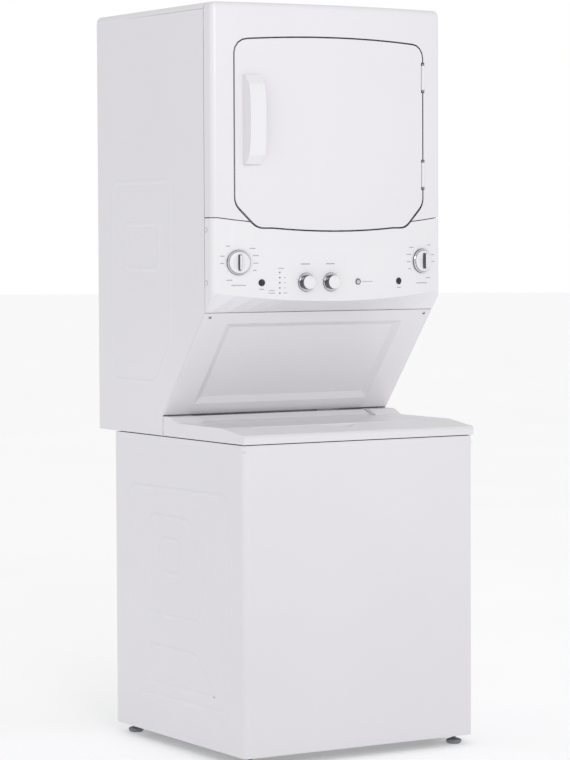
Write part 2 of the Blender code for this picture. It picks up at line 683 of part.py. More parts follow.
def top_cover():
    front, back = FRONT_Y, COVER_BACK_Y
    nose, slope_end = front + COVER_NOSE, front + COVER_NOSE + COVER_SLOPE
    profile = rounded([(front, COVER_BASE, 0), (front, WASHER_TOP + COVER_FRONT, COVER_NOSE / 2),
                       (nose, WASHER_TOP + COVER_FRONT, 0), (slope_end, RAIL_TOP, 0),
                       (back, RAIL_TOP, 0), (back, COVER_BASE, 0)])
    cover = prism("washer_top_cover", profile, "X", -HALF, HALF, "white_enamel")
    arm = LID_HALF + SEAM / 2
    foot = back - SHOULDER_DEPTH
    shoulder = rounded([(foot - SHOULDER_DEPTH, RAIL_TOP - 0.005, 0), (back, RAIL_TOP - 0.005, 0),
                        (back, SHOULDER_TOP, 0), (foot, SHOULDER_TOP, SHOULDER_DEPTH)])
    for side in (-1, 1):
        join(cover, prism("shoulder", shoulder, "X", *sorted((side * arm, side * HALF))))
    seat_low = SEAT_Z - COVER_WALL
    hollow = box("cover_hollow", (-HALF + COVER_WALL, front + COVER_WALL, COVER_BASE - 0.01),
                 (HALF - COVER_WALL, back - COVER_WALL, seat_low))
    cut(hollow, box("scoop_block", (-SCOOP_BLOCK / 2, front, COVER_BASE),
                    (SCOOP_BLOCK / 2, LID_FRONT_Y + MOUTH_MARGIN / 2, SHOULDER_TOP)))
    cut(cover, hollow)
    cut(cover, box("lid_recess", (-arm, LID_FRONT_Y - SEAM, SEAT_Z), (arm, back + 0.01, SHOULDER_TOP + 0.05)))
    mouth_low, mouth_high = LID_FRONT_Y + MOUTH_MARGIN, back - SHOULDER_DEPTH
    half = MOUTH_WIDTH / 2
    corner = SHOULDER_DEPTH
    mouth = rounded([(-half, mouth_low, corner), (half, mouth_low, corner), (half, mouth_high, corner),
                     (-half, mouth_high, corner)])
    cut(cover, prism("mouth", mouth, "Z", COVER_BASE - 0.02, SHOULDER_TOP + 0.05))
    scoop = bpy.data.objects.new("scoop", bpy.data.meshes.new("scoop"))
    form = bmesh.new()
    bmesh.ops.create_uvsphere(form, u_segments=32, v_segments=20, radius=SCOOP_RADIUS)
    bmesh.ops.translate(form, verts=form.verts,
                        vec=(0, LID_FRONT_Y - SEAM, RAIL_TOP - 0.004 + SCOOP_RADIUS - SCOOP_DEPTH / 2))
    form.to_mesh(scoop.data)
    form.free()
    bpy.context.scene.collection.objects.link(scoop)
    cut(cover, scoop)
    for side in (-1, 1):
        cut(cover, rod("pin_hole", LID_PIN_RADIUS + RUNNING, -LID_PIN_LENGTH, LID_PIN_LENGTH,
                       (side * arm, LID_AXIS_Y, LID_AXIS_Z), "X", 16))


def washer_lid():
    half = LID_HALF - SEAM / 2
    front = LID_FRONT_Y
    low, top = SEAT_Z + LID_SEAT_GAP, RAIL_TOP
    rise = LID_AXIS_Y - 4 * LID_BARREL_RADIUS
    roll = LID_BARREL_RADIUS
    profile = [(front, low), (front, top - 0.003), (front + 0.003, top), (rise, top),
               (rise + roll, top + 0.15 * roll), (rise + 2 * roll, top + 0.55 * roll)]
    for k in range(9):
        angle = math.radians(115 - 25 * k)
        profile.append((LID_AXIS_Y + roll * math.cos(angle), LID_AXIS_Z + roll * math.sin(angle)))
    profile += [(LID_AXIS_Y - roll, low)]
    lid = prism("washer_lid", profile, "X", -half, half, "white_enamel")
    pocket = box("lid_pocket", (-half + LID_RIM, front + LID_RIM, low - 0.01),
                 (half - LID_RIM, rise, top - LID_SKIN))
    cut(lid, pocket)
    reach = LID_PIN_LENGTH - 0.002
    for side in (-1, 1):
        pin = rod("lid_pin", LID_PIN_RADIUS, *sorted((-side * 0.004, side * (reach + SEAM - 0.004))),
                  (side * half, LID_AXIS_Y, LID_AXIS_Z), "X", 16)
        join(lid, pin)
    pivot(lid, (0, LID_AXIS_Y, LID_AXIS_Z))


def pivot(made, point):
    """Moves an object's origin to its joint, leaving its shape where it is."""
    settle(made)
    made.data.transform(Matrix.Translation(-Vector(point)))
    made.location = point


def washer_works():
    mid = (0, WASHER_MID_Y, 0)
    floor, top, radius, wall = TUB_FLOOR, TUB_TOP, TUB_RADIUS, TUB_WALL
    tub = turned("outer_tub", [(SHAFT_BORE, floor), (radius, floor), (radius, top),
                               (radius - wall, top), (radius - wall, floor + wall),
                               (SHAFT_BORE, floor + wall)], mid, "Z", TUB_SIDES, "tub_plastic", closed=True)
    reach = math.hypot(ROD_X, ROD_Y)
    for k, (sx, sy) in enumerate(((-1, -1), (1, -1), (1, 1), (-1, 1))):
        ux, uy = sx * ROD_X / reach, sy * ROD_Y / reach
        inner, outer, half = radius - wall / 2, reach + SLEEVE_RADIUS, SLEEVE_RADIUS
        lug = prism(f"lug_{k}", [(ux * inner - uy * half, WASHER_MID_Y + uy * inner + ux * half),
                                 (ux * outer - uy * half, WASHER_MID_Y + uy * outer + ux * half),
                                 (ux * outer + uy * half, WASHER_MID_Y + uy * outer - ux * half),
                                 (ux * inner + uy * half, WASHER_MID_Y + uy * inner - ux * half)],
                    "Z", floor + LUG_RISE, floor + LUG_RISE + LUG_HEIGHT)
        join(tub, lug)
    for sx in (-1, 1):
        for sy, where in ((-1, "front"), (1, "back")):
            x, y = sx * ROD_X, WASHER_MID_Y + sy * ROD_Y
            hole = ROD_RADIUS + ROD_CLEARANCE
            cut(tub, rod("lug_hole", hole, floor, floor + 2 * LUG_RISE, (x, y, 0), "Z", 8))
            seat, lug_low = ROD_TOP - ROD_SEAT_RADIUS / 2 + GAP, floor + LUG_RISE - GAP
            profile = [(0, lug_low - SLEEVE_HEIGHT), (SLEEVE_RADIUS * 0.7, lug_low - SLEEVE_HEIGHT),
                       (SLEEVE_RADIUS * 0.85, lug_low), (ROD_RADIUS, lug_low), (ROD_RADIUS, seat),
                       (ROD_SEAT_RADIUS, seat), (ROD_SEAT_RADIUS * 0.6, ROD_TOP + GAP), (0, ROD_TOP + GAP)]
            turned(f"suspension_rod_{where}_{'left' if sx < 0 else 'right'}", profile, (x, y, 0), "Z", 8, "steel")

    ring = MOUTH_RADIUS
    turned("tub_cover", [(ring, top + GAP), (radius, top + GAP), (radius, top + TUB_COVER_HEIGHT / 2),
                         (ring, top + TUB_COVER_HEIGHT)], mid, "Z", TUB_SIDES, "tub_plastic", closed=True)

    low, high, r, w = BASKET_FLOOR, BASKET_TOP, BASKET_RADIUS, BASKET_WALL
    hub = SHAFT_BORE + 0.010
    turned("wash_basket", [(SHAFT_BORE, floor + wall + 0.002), (hub, floor + wall + 0.002), (hub, low),
                           (r, low), (r, high), (r - w, high), (r - w, low + w), (SHAFT_BORE, low + w)],
           mid, "Z", TUB_SIDES, "stainless", closed=True)
    turned("balance_ring", [(r - RING_WIDTH, high - RING_HEIGHT), (r - w - GAP, high - RING_HEIGHT),
                            (r - w - GAP, high), (r - RING_WIDTH, high - RING_WIDTH / 6)],
           mid, "Z", TUB_SIDES, "grey_plastic", closed=True)

    base = low + w + 0.003
    post, skirt = AGITATOR_POST, AGITATOR_BASE
    shaft, shaft_low = DRIVE_SHAFT_RADIUS, floor - GEARCASE_HEIGHT / 2
    agitator = turned("agitator", [(0, shaft_low), (shaft, shaft_low), (shaft, base), (skirt, base),
                                   (skirt, base + 0.012), (0.7 * skirt, base + 0.026), (1.2 * post, base + 0.060),
                                   (post, base + 0.110), (0.85 * post, low + AGITATOR_HEIGHT - 0.02),
                                   (0.6 * post, low + AGITATOR_HEIGHT), (0, low + AGITATOR_HEIGHT)],
                      (0, 0, 0), "Z", AGITATOR_SIDES, "white_plastic")
    half = VANE_THICKNESS / 2
    for k in range(4):
        outline = [(post * 0.5, base + 0.006), (0.97 * skirt, base + 0.006), (0.93 * skirt, base + 0.040),
                   (1.5 * post, base + 0.095), (1.15 * post, base + 0.215), (post * 0.5, base + 0.215)]
        vane = prism(f"vane_{k}", outline, "Y", -half, half)
        vane.rotation_euler = (0, 0, math.radians(90 * k + 45))
        join(agitator, vane)
    place(agitator, 0, WASHER_MID_Y, 0)

    case_top = floor - GAP
    case = rod("gearcase", GEARCASE_RADIUS, case_top - GEARCASE_HEIGHT, case_top, mid, "Z", 16, "cast_aluminium")
    cut(case, rod("case_bore", shaft + RUNNING, shaft_low - RUNNING, floor, mid, "Z", 12))
    neck = 0.020
    cut(case, rod("input_bore", neck + RUNNING, case_top - GEARCASE_HEIGHT - 0.01,
                  case_top - GEARCASE_HEIGHT + 0.012, mid, "Z", 16))
    bottom = PULLEY_TOP - DRIVE_PULLEY_HEIGHT
    pulley = turned("drive_pulley", [(0, bottom), (DRIVE_PULLEY_RADIUS, bottom), (DRIVE_PULLEY_RADIUS, PULLEY_TOP),
                                     (neck, PULLEY_TOP), (neck, case_top - GEARCASE_HEIGHT + 0.010),
                                     (0, case_top - GEARCASE_HEIGHT + 0.010)], (0, 0, 0), "Z", 24, "cast_aluminium")
    place(pulley, 0, WASHER_MID_Y, 0)

    motor_y = WASHER_MID_Y + WASHER_MOTOR_REACH
    motor_low = PULLEY_TOP + 0.006
    motor = turned("washer_motor", [(0, motor_low), (0.8 * WASHER_MOTOR_RADIUS, motor_low),
                                    (WASHER_MOTOR_RADIUS, motor_low + 0.018), (WASHER_MOTOR_RADIUS, case_top - 0.018),
                                    (0.8 * WASHER_MOTOR_RADIUS, case_top), (0, case_top)],
                   (0, motor_y, 0), "Z", 16, "steel")
    cut(motor, rod("motor_bore", MOTOR_SHAFT_RADIUS + RUNNING, motor_low - 0.01, motor_low + 0.032,
                   (0, motor_y, 0), "Z", 12))
    small = turned("washer_motor_pulley", [(0, bottom), (WASHER_PULLEY_RADIUS, bottom),
                                           (WASHER_PULLEY_RADIUS, PULLEY_TOP), (MOTOR_SHAFT_RADIUS, PULLEY_TOP),
                                           (MOTOR_SHAFT_RADIUS, motor_low + 0.030), (0, motor_low + 0.030)],
                   (0, 0, 0), "Z", 16, "steel")
    place(small, 0, motor_y, 0)
    middle = (bottom + PULLEY_TOP) / 2
    belt("washer_belt", [(0, WASHER_MID_Y, DRIVE_PULLEY_RADIUS), (0, motor_y, WASHER_PULLEY_RADIUS)],
         "Z", middle - BELT_WIDTH / 2, middle + BELT_WIDTH / 2, sides=24)

    pump_x, pump_y = -0.6 * TUB_RADIUS, WASHER_MID_Y - 0.45 * TUB_RADIUS
    pump = rod("drain_pump", PUMP_RADIUS, case_top - PUMP_HEIGHT, case_top, (pump_x, pump_y, 0), "Z", 16, "grey_plastic")
    join(pump, rod("pump_spout", 0.014, -PUMP_RADIUS - 0.035, 0, (pump_x, pump_y, case_top - PUMP_HEIGHT / 2), "X", 10))
    cut(pump, rod("pump_spout_bore", 0.011, -PUMP_RADIUS - 0.045, -PUMP_RADIUS - 0.004,
                  (pump_x, pump_y, case_top - PUMP_HEIGHT / 2), "X", 10))

    back, height = WASHER_BACK_Y, WASHER_TOP - VALVE_DROP
    body = box("water_valve", (-VALVE_SPACING * 0.8, back - TUB_SIDE_GAP + VALVE_CLEARANCE, height - 0.018),
               (VALVE_SPACING * 0.8, back - SHEET - GAP, height + 0.018), "white_plastic")
    for side in (-1, 1):
        spot = (side * VALVE_SPACING / 2, back, height)
        join(body, rod("spout", VALVE_RADIUS, -SHEET - 0.010, VALVE_REACH, spot, "Y", 12))
        cut(body, rod("spout_bore", VALVE_RADIUS - 0.004, -0.004, VALVE_REACH + 0.01, spot, "Y", 12))


# ---- dryer shell ---------------------------------------------------------------------------------
def dryer_shell():
    base = COVER_BASE
    side_front = RETURN_Y + SEAM
    backing = PANEL + GAP  # the sides stop behind the slanted panel
    shift = backing / SLANT.z * -1  # measured level, along Y
    outline = [(COVER_BACK_Y + SEAM, base), (DRYER_BACK_Y, base), (DRYER_BACK_Y, HEIGHT - TOP_RADIUS - GAP),
               (side_front, HEIGHT - TOP_RADIUS - GAP), (side_front, slant_z(side_front - shift)),
               (COVER_BACK_Y + SEAM, slant_z(COVER_BACK_Y + SEAM - shift))]
    for side, hand in ((-1, "left"), (1, "right")):
        prism(f"dryer_side_{hand}", outline, "X", *sorted((side * HALF, side * (HALF - SHEET))), "white_enamel")

    corners = [(-HALF, HEIGHT - TOP_RADIUS, 0), (-HALF, HEIGHT, TOP_RADIUS), (HALF, HEIGHT, TOP_RADIUS),
               (HALF, HEIGHT - TOP_RADIUS, 0), (HALF - SHEET, HEIGHT - TOP_RADIUS, 0),
               (HALF - SHEET, HEIGHT - SHEET, TOP_RADIUS - SHEET), (-HALF + SHEET, HEIGHT - SHEET, TOP_RADIUS - SHEET),
               (-HALF + SHEET, HEIGHT - TOP_RADIUS, 0)]
    prism("dryer_top_panel", rounded(corners), "Y", side_front, DRYER_BACK_Y, "white_enamel")

    back = box("dryer_back_panel", (-INNER_HALF, DRYER_BACK_Y - SHEET, base),
               (INNER_HALF, DRYER_BACK_Y, HEIGHT - TOP_RADIUS - GAP), "galvanised")
    cut(back, rod("collar_hole", DUCT_RADIUS + GAP, -0.05, 0.05, (DUCT_X, DRYER_BACK_Y, DUCT_Z), "Y", 24))

    x, z = INNER_HALF - 0.09, PAN_Z + 0.07
    terminal = box("terminal_cover", (x - 0.045, DRYER_BACK_Y + GAP, z - 0.035), (x + 0.045, DRYER_BACK_Y + 0.014, z + 0.035),
                   "galvanised")
    cut(terminal, box("terminal_hollow", (x - 0.043, DRYER_BACK_Y - 0.01, z - 0.033), (x + 0.043, DRYER_BACK_Y + 0.012, z + 0.033)),
        rod("cord_hole", 0.011, -0.05, -0.02, (x, DRYER_BACK_Y + 0.007, z), "Z", 16))

    pan_low = PAN_Z - SHEET
    pan_front = slant_y(pan_low) + shift + GAP
    outline = [(pan_front, pan_low), (DRYER_BACK_Y - SHEET - GAP, pan_low), (DRYER_BACK_Y - SHEET - GAP, PAN_Z),
               (pan_front + SHEET, PAN_Z), (pan_front + SHEET, PAN_Z + PAN_FLANGE), (pan_front, PAN_Z + PAN_FLANGE)]
    prism("dryer_floor_pan", outline, "X", -INNER_HALF, INNER_HALF, "galvanised")


def slanted_panel():
    start = (Vector((0, RETURN_Y, slant_z(RETURN_Y))) - SLANT_HEAD).length + SEAM
    end = (SLANT_FOOT - SLANT_HEAD).length - 2 * PANEL
    form = bmesh.new()

    def point(x, s, depth):
        return form.verts.new(SLANT_HEAD + SLANT * s - SLANT_OUT * depth + Vector((x, 0, 0)))

    def ring(half, low, high, depth):
        return [point(-half, low, depth), point(half, low, depth), point(half, high, depth), point(-half, high, depth)]

    edge = DISH_MARGIN + DISH_SLOPE
    rings = [ring(HALF, start, end, 0),
             ring(HALF - DISH_MARGIN, start + DISH_END, end - DISH_END, 0),
             ring(HALF - edge, start + DISH_END + DISH_SLOPE, end - DISH_END - DISH_SLOPE, DISH_DEPTH)]
    for outer, inner in zip(rings, rings[1:]):
        for k in range(4):
            form.faces.new((outer[k], inner[k], inner[(k + 1) % 4], outer[(k + 1) % 4]))
    form.faces.new(rings[-1][::-1])
    made = finish("slanted_panel", form, "white_enamel", outward=False)
    skin = made.modifiers.new("skin", "SOLIDIFY")
    skin.thickness = PANEL
    skin.offset = -1
    skin.use_even_offset = True


def front_panel():
    path = plan_path(0)
    rows = [[Vector((x, y, CONSOLE_TOP - sag(x) + SEAM)) for x, y in path],
            [Vector((x, y, HEIGHT - TOP_RADIUS)) for x, y in path]]
    steps = 4
    for k in range(1, steps + 1):
        angle = math.pi / 2 * k / steps
        inset = TOP_RADIUS * (1 - math.cos(angle))
        height = HEIGHT - TOP_RADIUS * (1 - math.sin(angle))
        rows.append([Vector((x, y, height)) for x, y in plan_path(inset)])
    rows.append([Vector((x, RETURN_Y, HEIGHT)) for x, y in plan_path(TOP_RADIUS)])
    front = swept("dryer_front_panel", rows, SHEET, "white_enamel")
    cut(front, prism("door_opening", door_outline(DOOR_GAP), "Y", DRYER_FRONT_Y - 2 * FRONT_BOW,
                     DRYER_FRONT_Y + CORNER_RADIUS))
    return front


def console():
    path = plan_path(0)

    def lowest(x, y):
        return CONSOLE_BOTTOM - sag(x) if abs(x) <= FLAT_HALF else slant_z(max(y, DRYER_FRONT_Y))

    rows = [[Vector((x, RETURN_Y, slant_z(RETURN_Y))) for x, y in path],
            [Vector((x, y - bulge(x), lowest(x, y))) for x, y in path],
            [Vector((x, y - bulge(x), CONSOLE_TOP - CREASE_DROP)) for x, y in path],
            [Vector((x, y, CONSOLE_TOP - sag(x))) for x, y in path]]
    made = swept("console", rows, PANEL, "white_plastic")
    cut(made, prism("door_space", door_outline(DOOR_GAP), "Y", DRYER_FRONT_Y - 2 * FRONT_BOW,
                    DRYER_FRONT_Y + CORNER_RADIUS))
    return made


def dial_places():
    big = [(-HALF + DIAL_SIDE, CONSOLE_BOTTOM + DIAL_RISE), (HALF - DIAL_SIDE, CONSOLE_BOTTOM + DIAL_RISE)]
    small = [(x, CONSOLE_BOTTOM + SMALL_RISE) for x in SMALL_OFFSETS]
    buttons = [(x, CONSOLE_BOTTOM + SMALL_RISE) for x in BUTTON_OFFSETS]
    return big, small, buttons


def controls(panel):
    big, small, buttons = dial_places()
    stem = [(0, STEM_DEPTH), (STEM_RADIUS, STEM_DEPTH), (STEM_RADIUS, -FACE_GAP)]
    for (x, z), name in zip(big, ("dryer_cycle_dial", "washer_cycle_dial")):
        rim, cap = DIAL_RADIUS, DIAL_CAP_RADIUS
        skirt = FACE_GAP + DIAL_SKIRT
        face = skirt + DIAL_CAP
        profile = stem + [(rim, -FACE_GAP), (rim, -skirt + 0.0015), (rim - 0.0015, -skirt), (cap, -skirt),
                          (cap - 0.002, -face), (0, -face)]
        knob = turned(name, profile, (0, 0, 0), "Y", 24, "white_plastic")
        half = FIN_WIDTH / 2
        join(knob, box("fin", (-half, -face - 0.010, -FIN_REACH), (half, -skirt, FIN_REACH)))
        place(knob, x, console_y(x), z, face_turn(x))
        hole = rod("dial_hole", STEM_RADIUS + RUNNING, -0.02, 0.03, (0, 0, 0), "Y", 12)
        place(hole, x, console_y(x), z, face_turn(x))
        cut(panel, hole)
    for (x, z), name in zip(small, ("wash_temperature_knob", "load_size_knob")):
        rim, cap = SMALL_RADIUS, SMALL_CAP_RADIUS
        skirt = FACE_GAP + SMALL_SKIRT
        face = skirt + SMALL_CAP
        profile = stem + [(rim, -FACE_GAP), (rim, -skirt + 0.0015), (rim - 0.002, -skirt), (cap, -skirt),
                          (0.93 * cap, -face + 0.004), (0.7 * cap, -face), (0, -face)]
        knob = turned(name, profile, (0, 0, 0), "Y", 20, "white_plastic")
        place(knob, x, console_y(x), z, face_turn(x))
        hole = rod("knob_hole", STEM_RADIUS + RUNNING, -0.02, 0.03, (0, 0, 0), "Y", 12)
        place(hole, x, console_y(x), z, face_turn(x))
        cut(panel, hole)
    for (x, z), name in zip(buttons, ("dryer_start_button", "washer_start_button")):
        flange = BUTTON_RADIUS + 0.002
        inside = PANEL + 0.0035
        profile = [(0, BUTTON_DEPTH), (flange, BUTTON_DEPTH), (flange, inside), (BUTTON_RADIUS, inside),
                   (BUTTON_RADIUS, -BUTTON_PROUD + 0.001), (BUTTON_RADIUS - 0.001, -BUTTON_PROUD), (0, -BUTTON_PROUD)]
        key = turned(name, profile, (0, 0, 0), "Y", 12, "black_plastic")
        place(key, x, console_y(x), z, face_turn(x))
        hole = rod("button_hole", BUTTON_RADIUS + RUNNING, -0.02, 0.03, (0, 0, 0), "Y", 12)
        place(hole, x, console_y(x), z, face_turn(x))
        cut(panel, hole)


# ---- dryer door ----------------------------------------------------------------------------------
def door(front):
    back = DRYER_FRONT_Y + DOOR_DEPTH - FRONT_BOW * 0.27
    ahead = DRYER_FRONT_Y - 2 * FRONT_BOW
    axis_y = front_y(HINGE_X) + HINGE_RADIUS - HINGE_PROUD

    def in_front(name, offset):
        blank = box(name, (-HALF, ahead - FRONT_BOW, DOOR_BOTTOM - 0.05), (HALF, DRYER_FRONT_Y + offset, DOOR_TOP + 0.05))
        return bowed(blank)

    outer = prism("door_outer", door_outline(0), "Y", ahead, back, "white_enamel")
    cut(outer, in_front("door_front", 0))
    hollow = prism("door_hollow", door_outline(-DOOR_RIM), "Y", ahead, back + 0.01)
    cut(hollow, in_front("door_skin_front", DOOR_SKIN))

    inner_back = back + GAP + INNER_PANEL
    inner = prism("door_inner", door_outline(-GAP), "Y", back + GAP, inner_back, "white_enamel")
    centre = (0, 0, DRUM_Z)
    plug = THROAT_RADIUS - PLUG_CLEARANCE
    join(inner, turned("door_plug", [(0, inner_back - 0.002), (plug, inner_back - 0.002),
                                     (plug - 0.004, inner_back + PLUG_DEPTH), (0.8 * plug, inner_back + PLUG_DEPTH),
                                     (0.75 * plug, inner_back + 0.002), (0, inner_back + 0.002)],
                       centre, "Y", THROAT_SIDES))

    for drop, place_name in ((HINGE_UPPER_DROP, "upper"), (HINGE_LOWER_DROP, "lower")):
        high = DOOR_TOP - drop
        low = high - HINGE_HEIGHT
        spot = (HINGE_X, axis_y, 0)
        barrel = rod(f"door_hinge_{place_name}", HINGE_RADIUS, low, high, spot, "Z", 12, "white_enamel")
        leaf_back = BULKHEAD_Y - GAP
        half = HINGE_PLATE / 2
        join(barrel, box("leaf", (HINGE_X - half, axis_y, low), (HINGE_X + half, leaf_back, high)),
             box("leaf_foot", (HINGE_X - half, leaf_back - HINGE_PLATE, low),
                 (HINGE_X + HINGE_PLATE_DEPTH, leaf_back, high)))
        cut(barrel, rod("hinge_bore", HINGE_PIN_RADIUS + RUNNING, low - 0.01, high + 0.01, spot, "Z", 8))
        notch = HINGE_RADIUS + HINGE_NOTCH
        room = 0.008
        for target in (front, outer, inner):
            cut(target, rod("hinge_notch", notch, low - room, high + room, spot, "Z", 12))
        pin = rod(f"door_hinge_pin_{place_name}", HINGE_PIN_RADIUS, low - 0.006, high + 0.006, (0, 0, 0), "Z", 8, "black_plastic")
        place(pin, HINGE_X, axis_y, 0)
    cut(outer, hollow)
    for made in (outer, inner):
        pivot(made, (HINGE_X, axis_y, DOOR_BOTTOM))

    handle_low = DOOR_TOP - HANDLE_DROP - HANDLE_HEIGHT
    handle_high = DOOR_TOP - HANDLE_DROP
    left = -DOOR_HALF + HANDLE_SIDE
    right = left + HANDLE_WIDTH
    steps = 10

    def arch(reach, low, high, edge):
        points = [(DRYER_FRONT_Y + 0.02, low), (DRYER_FRONT_Y + 0.02, high)]
        middle, half = (low + high) / 2, (high - low) / 2
        face = front_y((left + right) / 2)
        for k in range(steps + 1):
            t = 1 - 2 * k / steps
            points.append((face - edge - (reach - edge) * math.sqrt(max(0.0, 1 - abs(t) ** 3)), middle + half * t))
        return points

    grip = prism("door_handle", arch(HANDLE_REACH, handle_low, handle_high, HANDLE_EDGE), "X", left, right, "white_plastic")
    pocket = prism("handle_pocket", arch(HANDLE_REACH - HANDLE_WALL, handle_low + 2 * HANDLE_WALL,
                                         handle_high - 2 * HANDLE_WALL, HANDLE_EDGE / 2),
                   "X", left + HANDLE_WALL, right + 0.01)
    blank = box("handle_back", (left - 0.05, DRYER_FRONT_Y - GAP, handle_low - 0.02),
                (right + 0.05, DRYER_FRONT_Y + 0.06, handle_high + 0.02))
    cut(grip, pocket, bowed(blank))
    pivot(grip, (HINGE_X, axis_y, DOOR_BOTTOM))


# ---- dryer works ---------------------------------------------------------------------------------
def bulkheads():
    low = slant_z(BULKHEAD_Y) + 2 * PANEL + GAP
    throat = THROAT_RADIUS
    half = HALF - PANEL - GAP
    front = box("front_bulkhead", (-half, BULKHEAD_Y, low), (half, BULKHEAD_Y + SHEET, HEIGHT - TOP_RADIUS), "galvanised")
    end = DRUM_FRONT_Y + THROAT_OVERLAP
    centre = (0, 0, DRUM_Z)
    slot_x = FILTER_WIDTH / 2 + FILTER_CLEARANCE
    slot_y = FILTER_THICKNESS / 2 + FILTER_CLEARANCE
    filter_low = DRUM_Z - throat + FILTER_GRIP - FILTER_HEIGHT
    cut(front, rod("throat", throat + THROAT_WALL / 2, BULKHEAD_Y - 0.01, BULKHEAD_Y + 0.01, centre, "Y", THROAT_SIDES))
    ring = turned("throat_ring", [(throat, BULKHEAD_Y + SHEET / 3), (throat + THROAT_WALL, BULKHEAD_Y + SHEET / 3),
                                  (throat + THROAT_WALL, end), (throat, end)],
                  centre, "Y", THROAT_SIDES, closed=True)
    cut(ring, box("filter_slot", (-slot_x, FILTER_Y - slot_y, DRUM_Z - 1.5 * throat), (slot_x, FILTER_Y + slot_y, DRUM_Z - 0.7 * throat)))
    room = LINT_WALL / 4
    sleeve = tube("filter_sleeve", rectangle(-slot_x - LINT_WALL, BULKHEAD_Y + SHEET / 2,
                                             slot_x + LINT_WALL, FILTER_Y + slot_y + LINT_WALL),
                  rectangle(-slot_x - room, FILTER_Y - slot_y - room, slot_x + room, FILTER_Y + slot_y + room),
                  "Z", filter_low + 0.01, DRUM_Z - throat + THROAT_WALL)
    cut(sleeve, rod("sleeve_end", throat + THROAT_WALL / 3, BULKHEAD_Y - 0.01, DRUM_FRONT_Y, centre, "Y", THROAT_SIDES))
    join(front, ring, sleeve)

    half = FILTER_THICKNESS / 2
    sieve = box("lint_filter", (-FILTER_WIDTH / 2, -half, 0), (FILTER_WIDTH / 2, half, FILTER_HEIGHT), "grey_plastic")
    cut(sieve, box("filter_window", (-FILTER_WIDTH / 2 + 0.015, -half + 0.002, 0.015),
                   (FILTER_WIDTH / 2 - 0.015, half + 0.01, FILTER_HEIGHT - 0.03)))
    place(sieve, 0, FILTER_Y, filter_low)

    rear_low = PAN_Z + GAP
    rear = box("rear_bulkhead", (-INNER_HALF, REAR_BULKHEAD_Y, rear_low),
               (INNER_HALF, REAR_BULKHEAD_Y + SHEET, HEIGHT - TOP_RADIUS), "galvanised")
    join(rear, rod("bearing", BEARING_RADIUS, REAR_BULKHEAD_Y + SHEET / 2, REAR_BULKHEAD_Y + 0.012, centre, "Y", 20))
    cut(rear, rod("bearing_bore", DRUM_SHAFT_RADIUS + RUNNING, REAR_BULKHEAD_Y - 0.05, DRYER_BACK_Y, centre, "Y", 20),
        rod("duct_hole", DUCT_RADIUS + GAP, REAR_BULKHEAD_Y - 0.05, DRYER_BACK_Y, (DUCT_X, 0, DUCT_Z), "Y", 24))

    w = SHEET
    face, rear_face = REAR_BULKHEAD_Y + SHEET + GAP, DRYER_BACK_Y - SHEET - 2 * GAP
    turned("heater_housing", [(HEATER_HUB, face), (HEATER_HUB, rear_face), (HEATER_RADIUS, rear_face),
                              (HEATER_RADIUS, face), (HEATER_RADIUS - w, face), (HEATER_RADIUS - w, rear_face - w),
                              (HEATER_HUB + w, rear_face - w), (HEATER_HUB + w, face)],
           centre, "Y", 20, "galvanised", closed=True)


def drum():
    r, w = DRUM_RADIUS, DRUM_WALL
    lip = THROAT_RADIUS + THROAT_WALL + LIP_CLEARANCE
    near, far = DRUM_FRONT_Y, DRUM_BACK_Y
    tip = far + DRUM_SHAFT_LENGTH
    profile = [(0, tip), (DRUM_SHAFT_RADIUS, tip), (DRUM_SHAFT_RADIUS, far), (r, far), (r, near), (lip, near),
               (lip, near + w), (r - w, near + w), (r - w, far - w), (0, far - w)]
    made = turned("dryer_drum", profile, (0, 0, 0), "Y", DRUM_SIDES, "drum_enamel")
    half = BAFFLE_WIDTH / 2
    inner = r - w - BAFFLE_HEIGHT
    seat = r * math.cos(math.pi / DRUM_SIDES) - w / 2
    for k in range(3):
        outline = [(-half, -seat), (half, -seat), (half * 0.4, -inner), (-half * 0.4, -inner)]
        rib = prism(f"baffle_{k}", outline, "Y", near + BAFFLE_INSET, far - BAFFLE_INSET)
        rib.rotation_euler = (0, math.radians(120 * k), 0)
        join(made, rib)
    place(made, 0, 0, DRUM_Z)


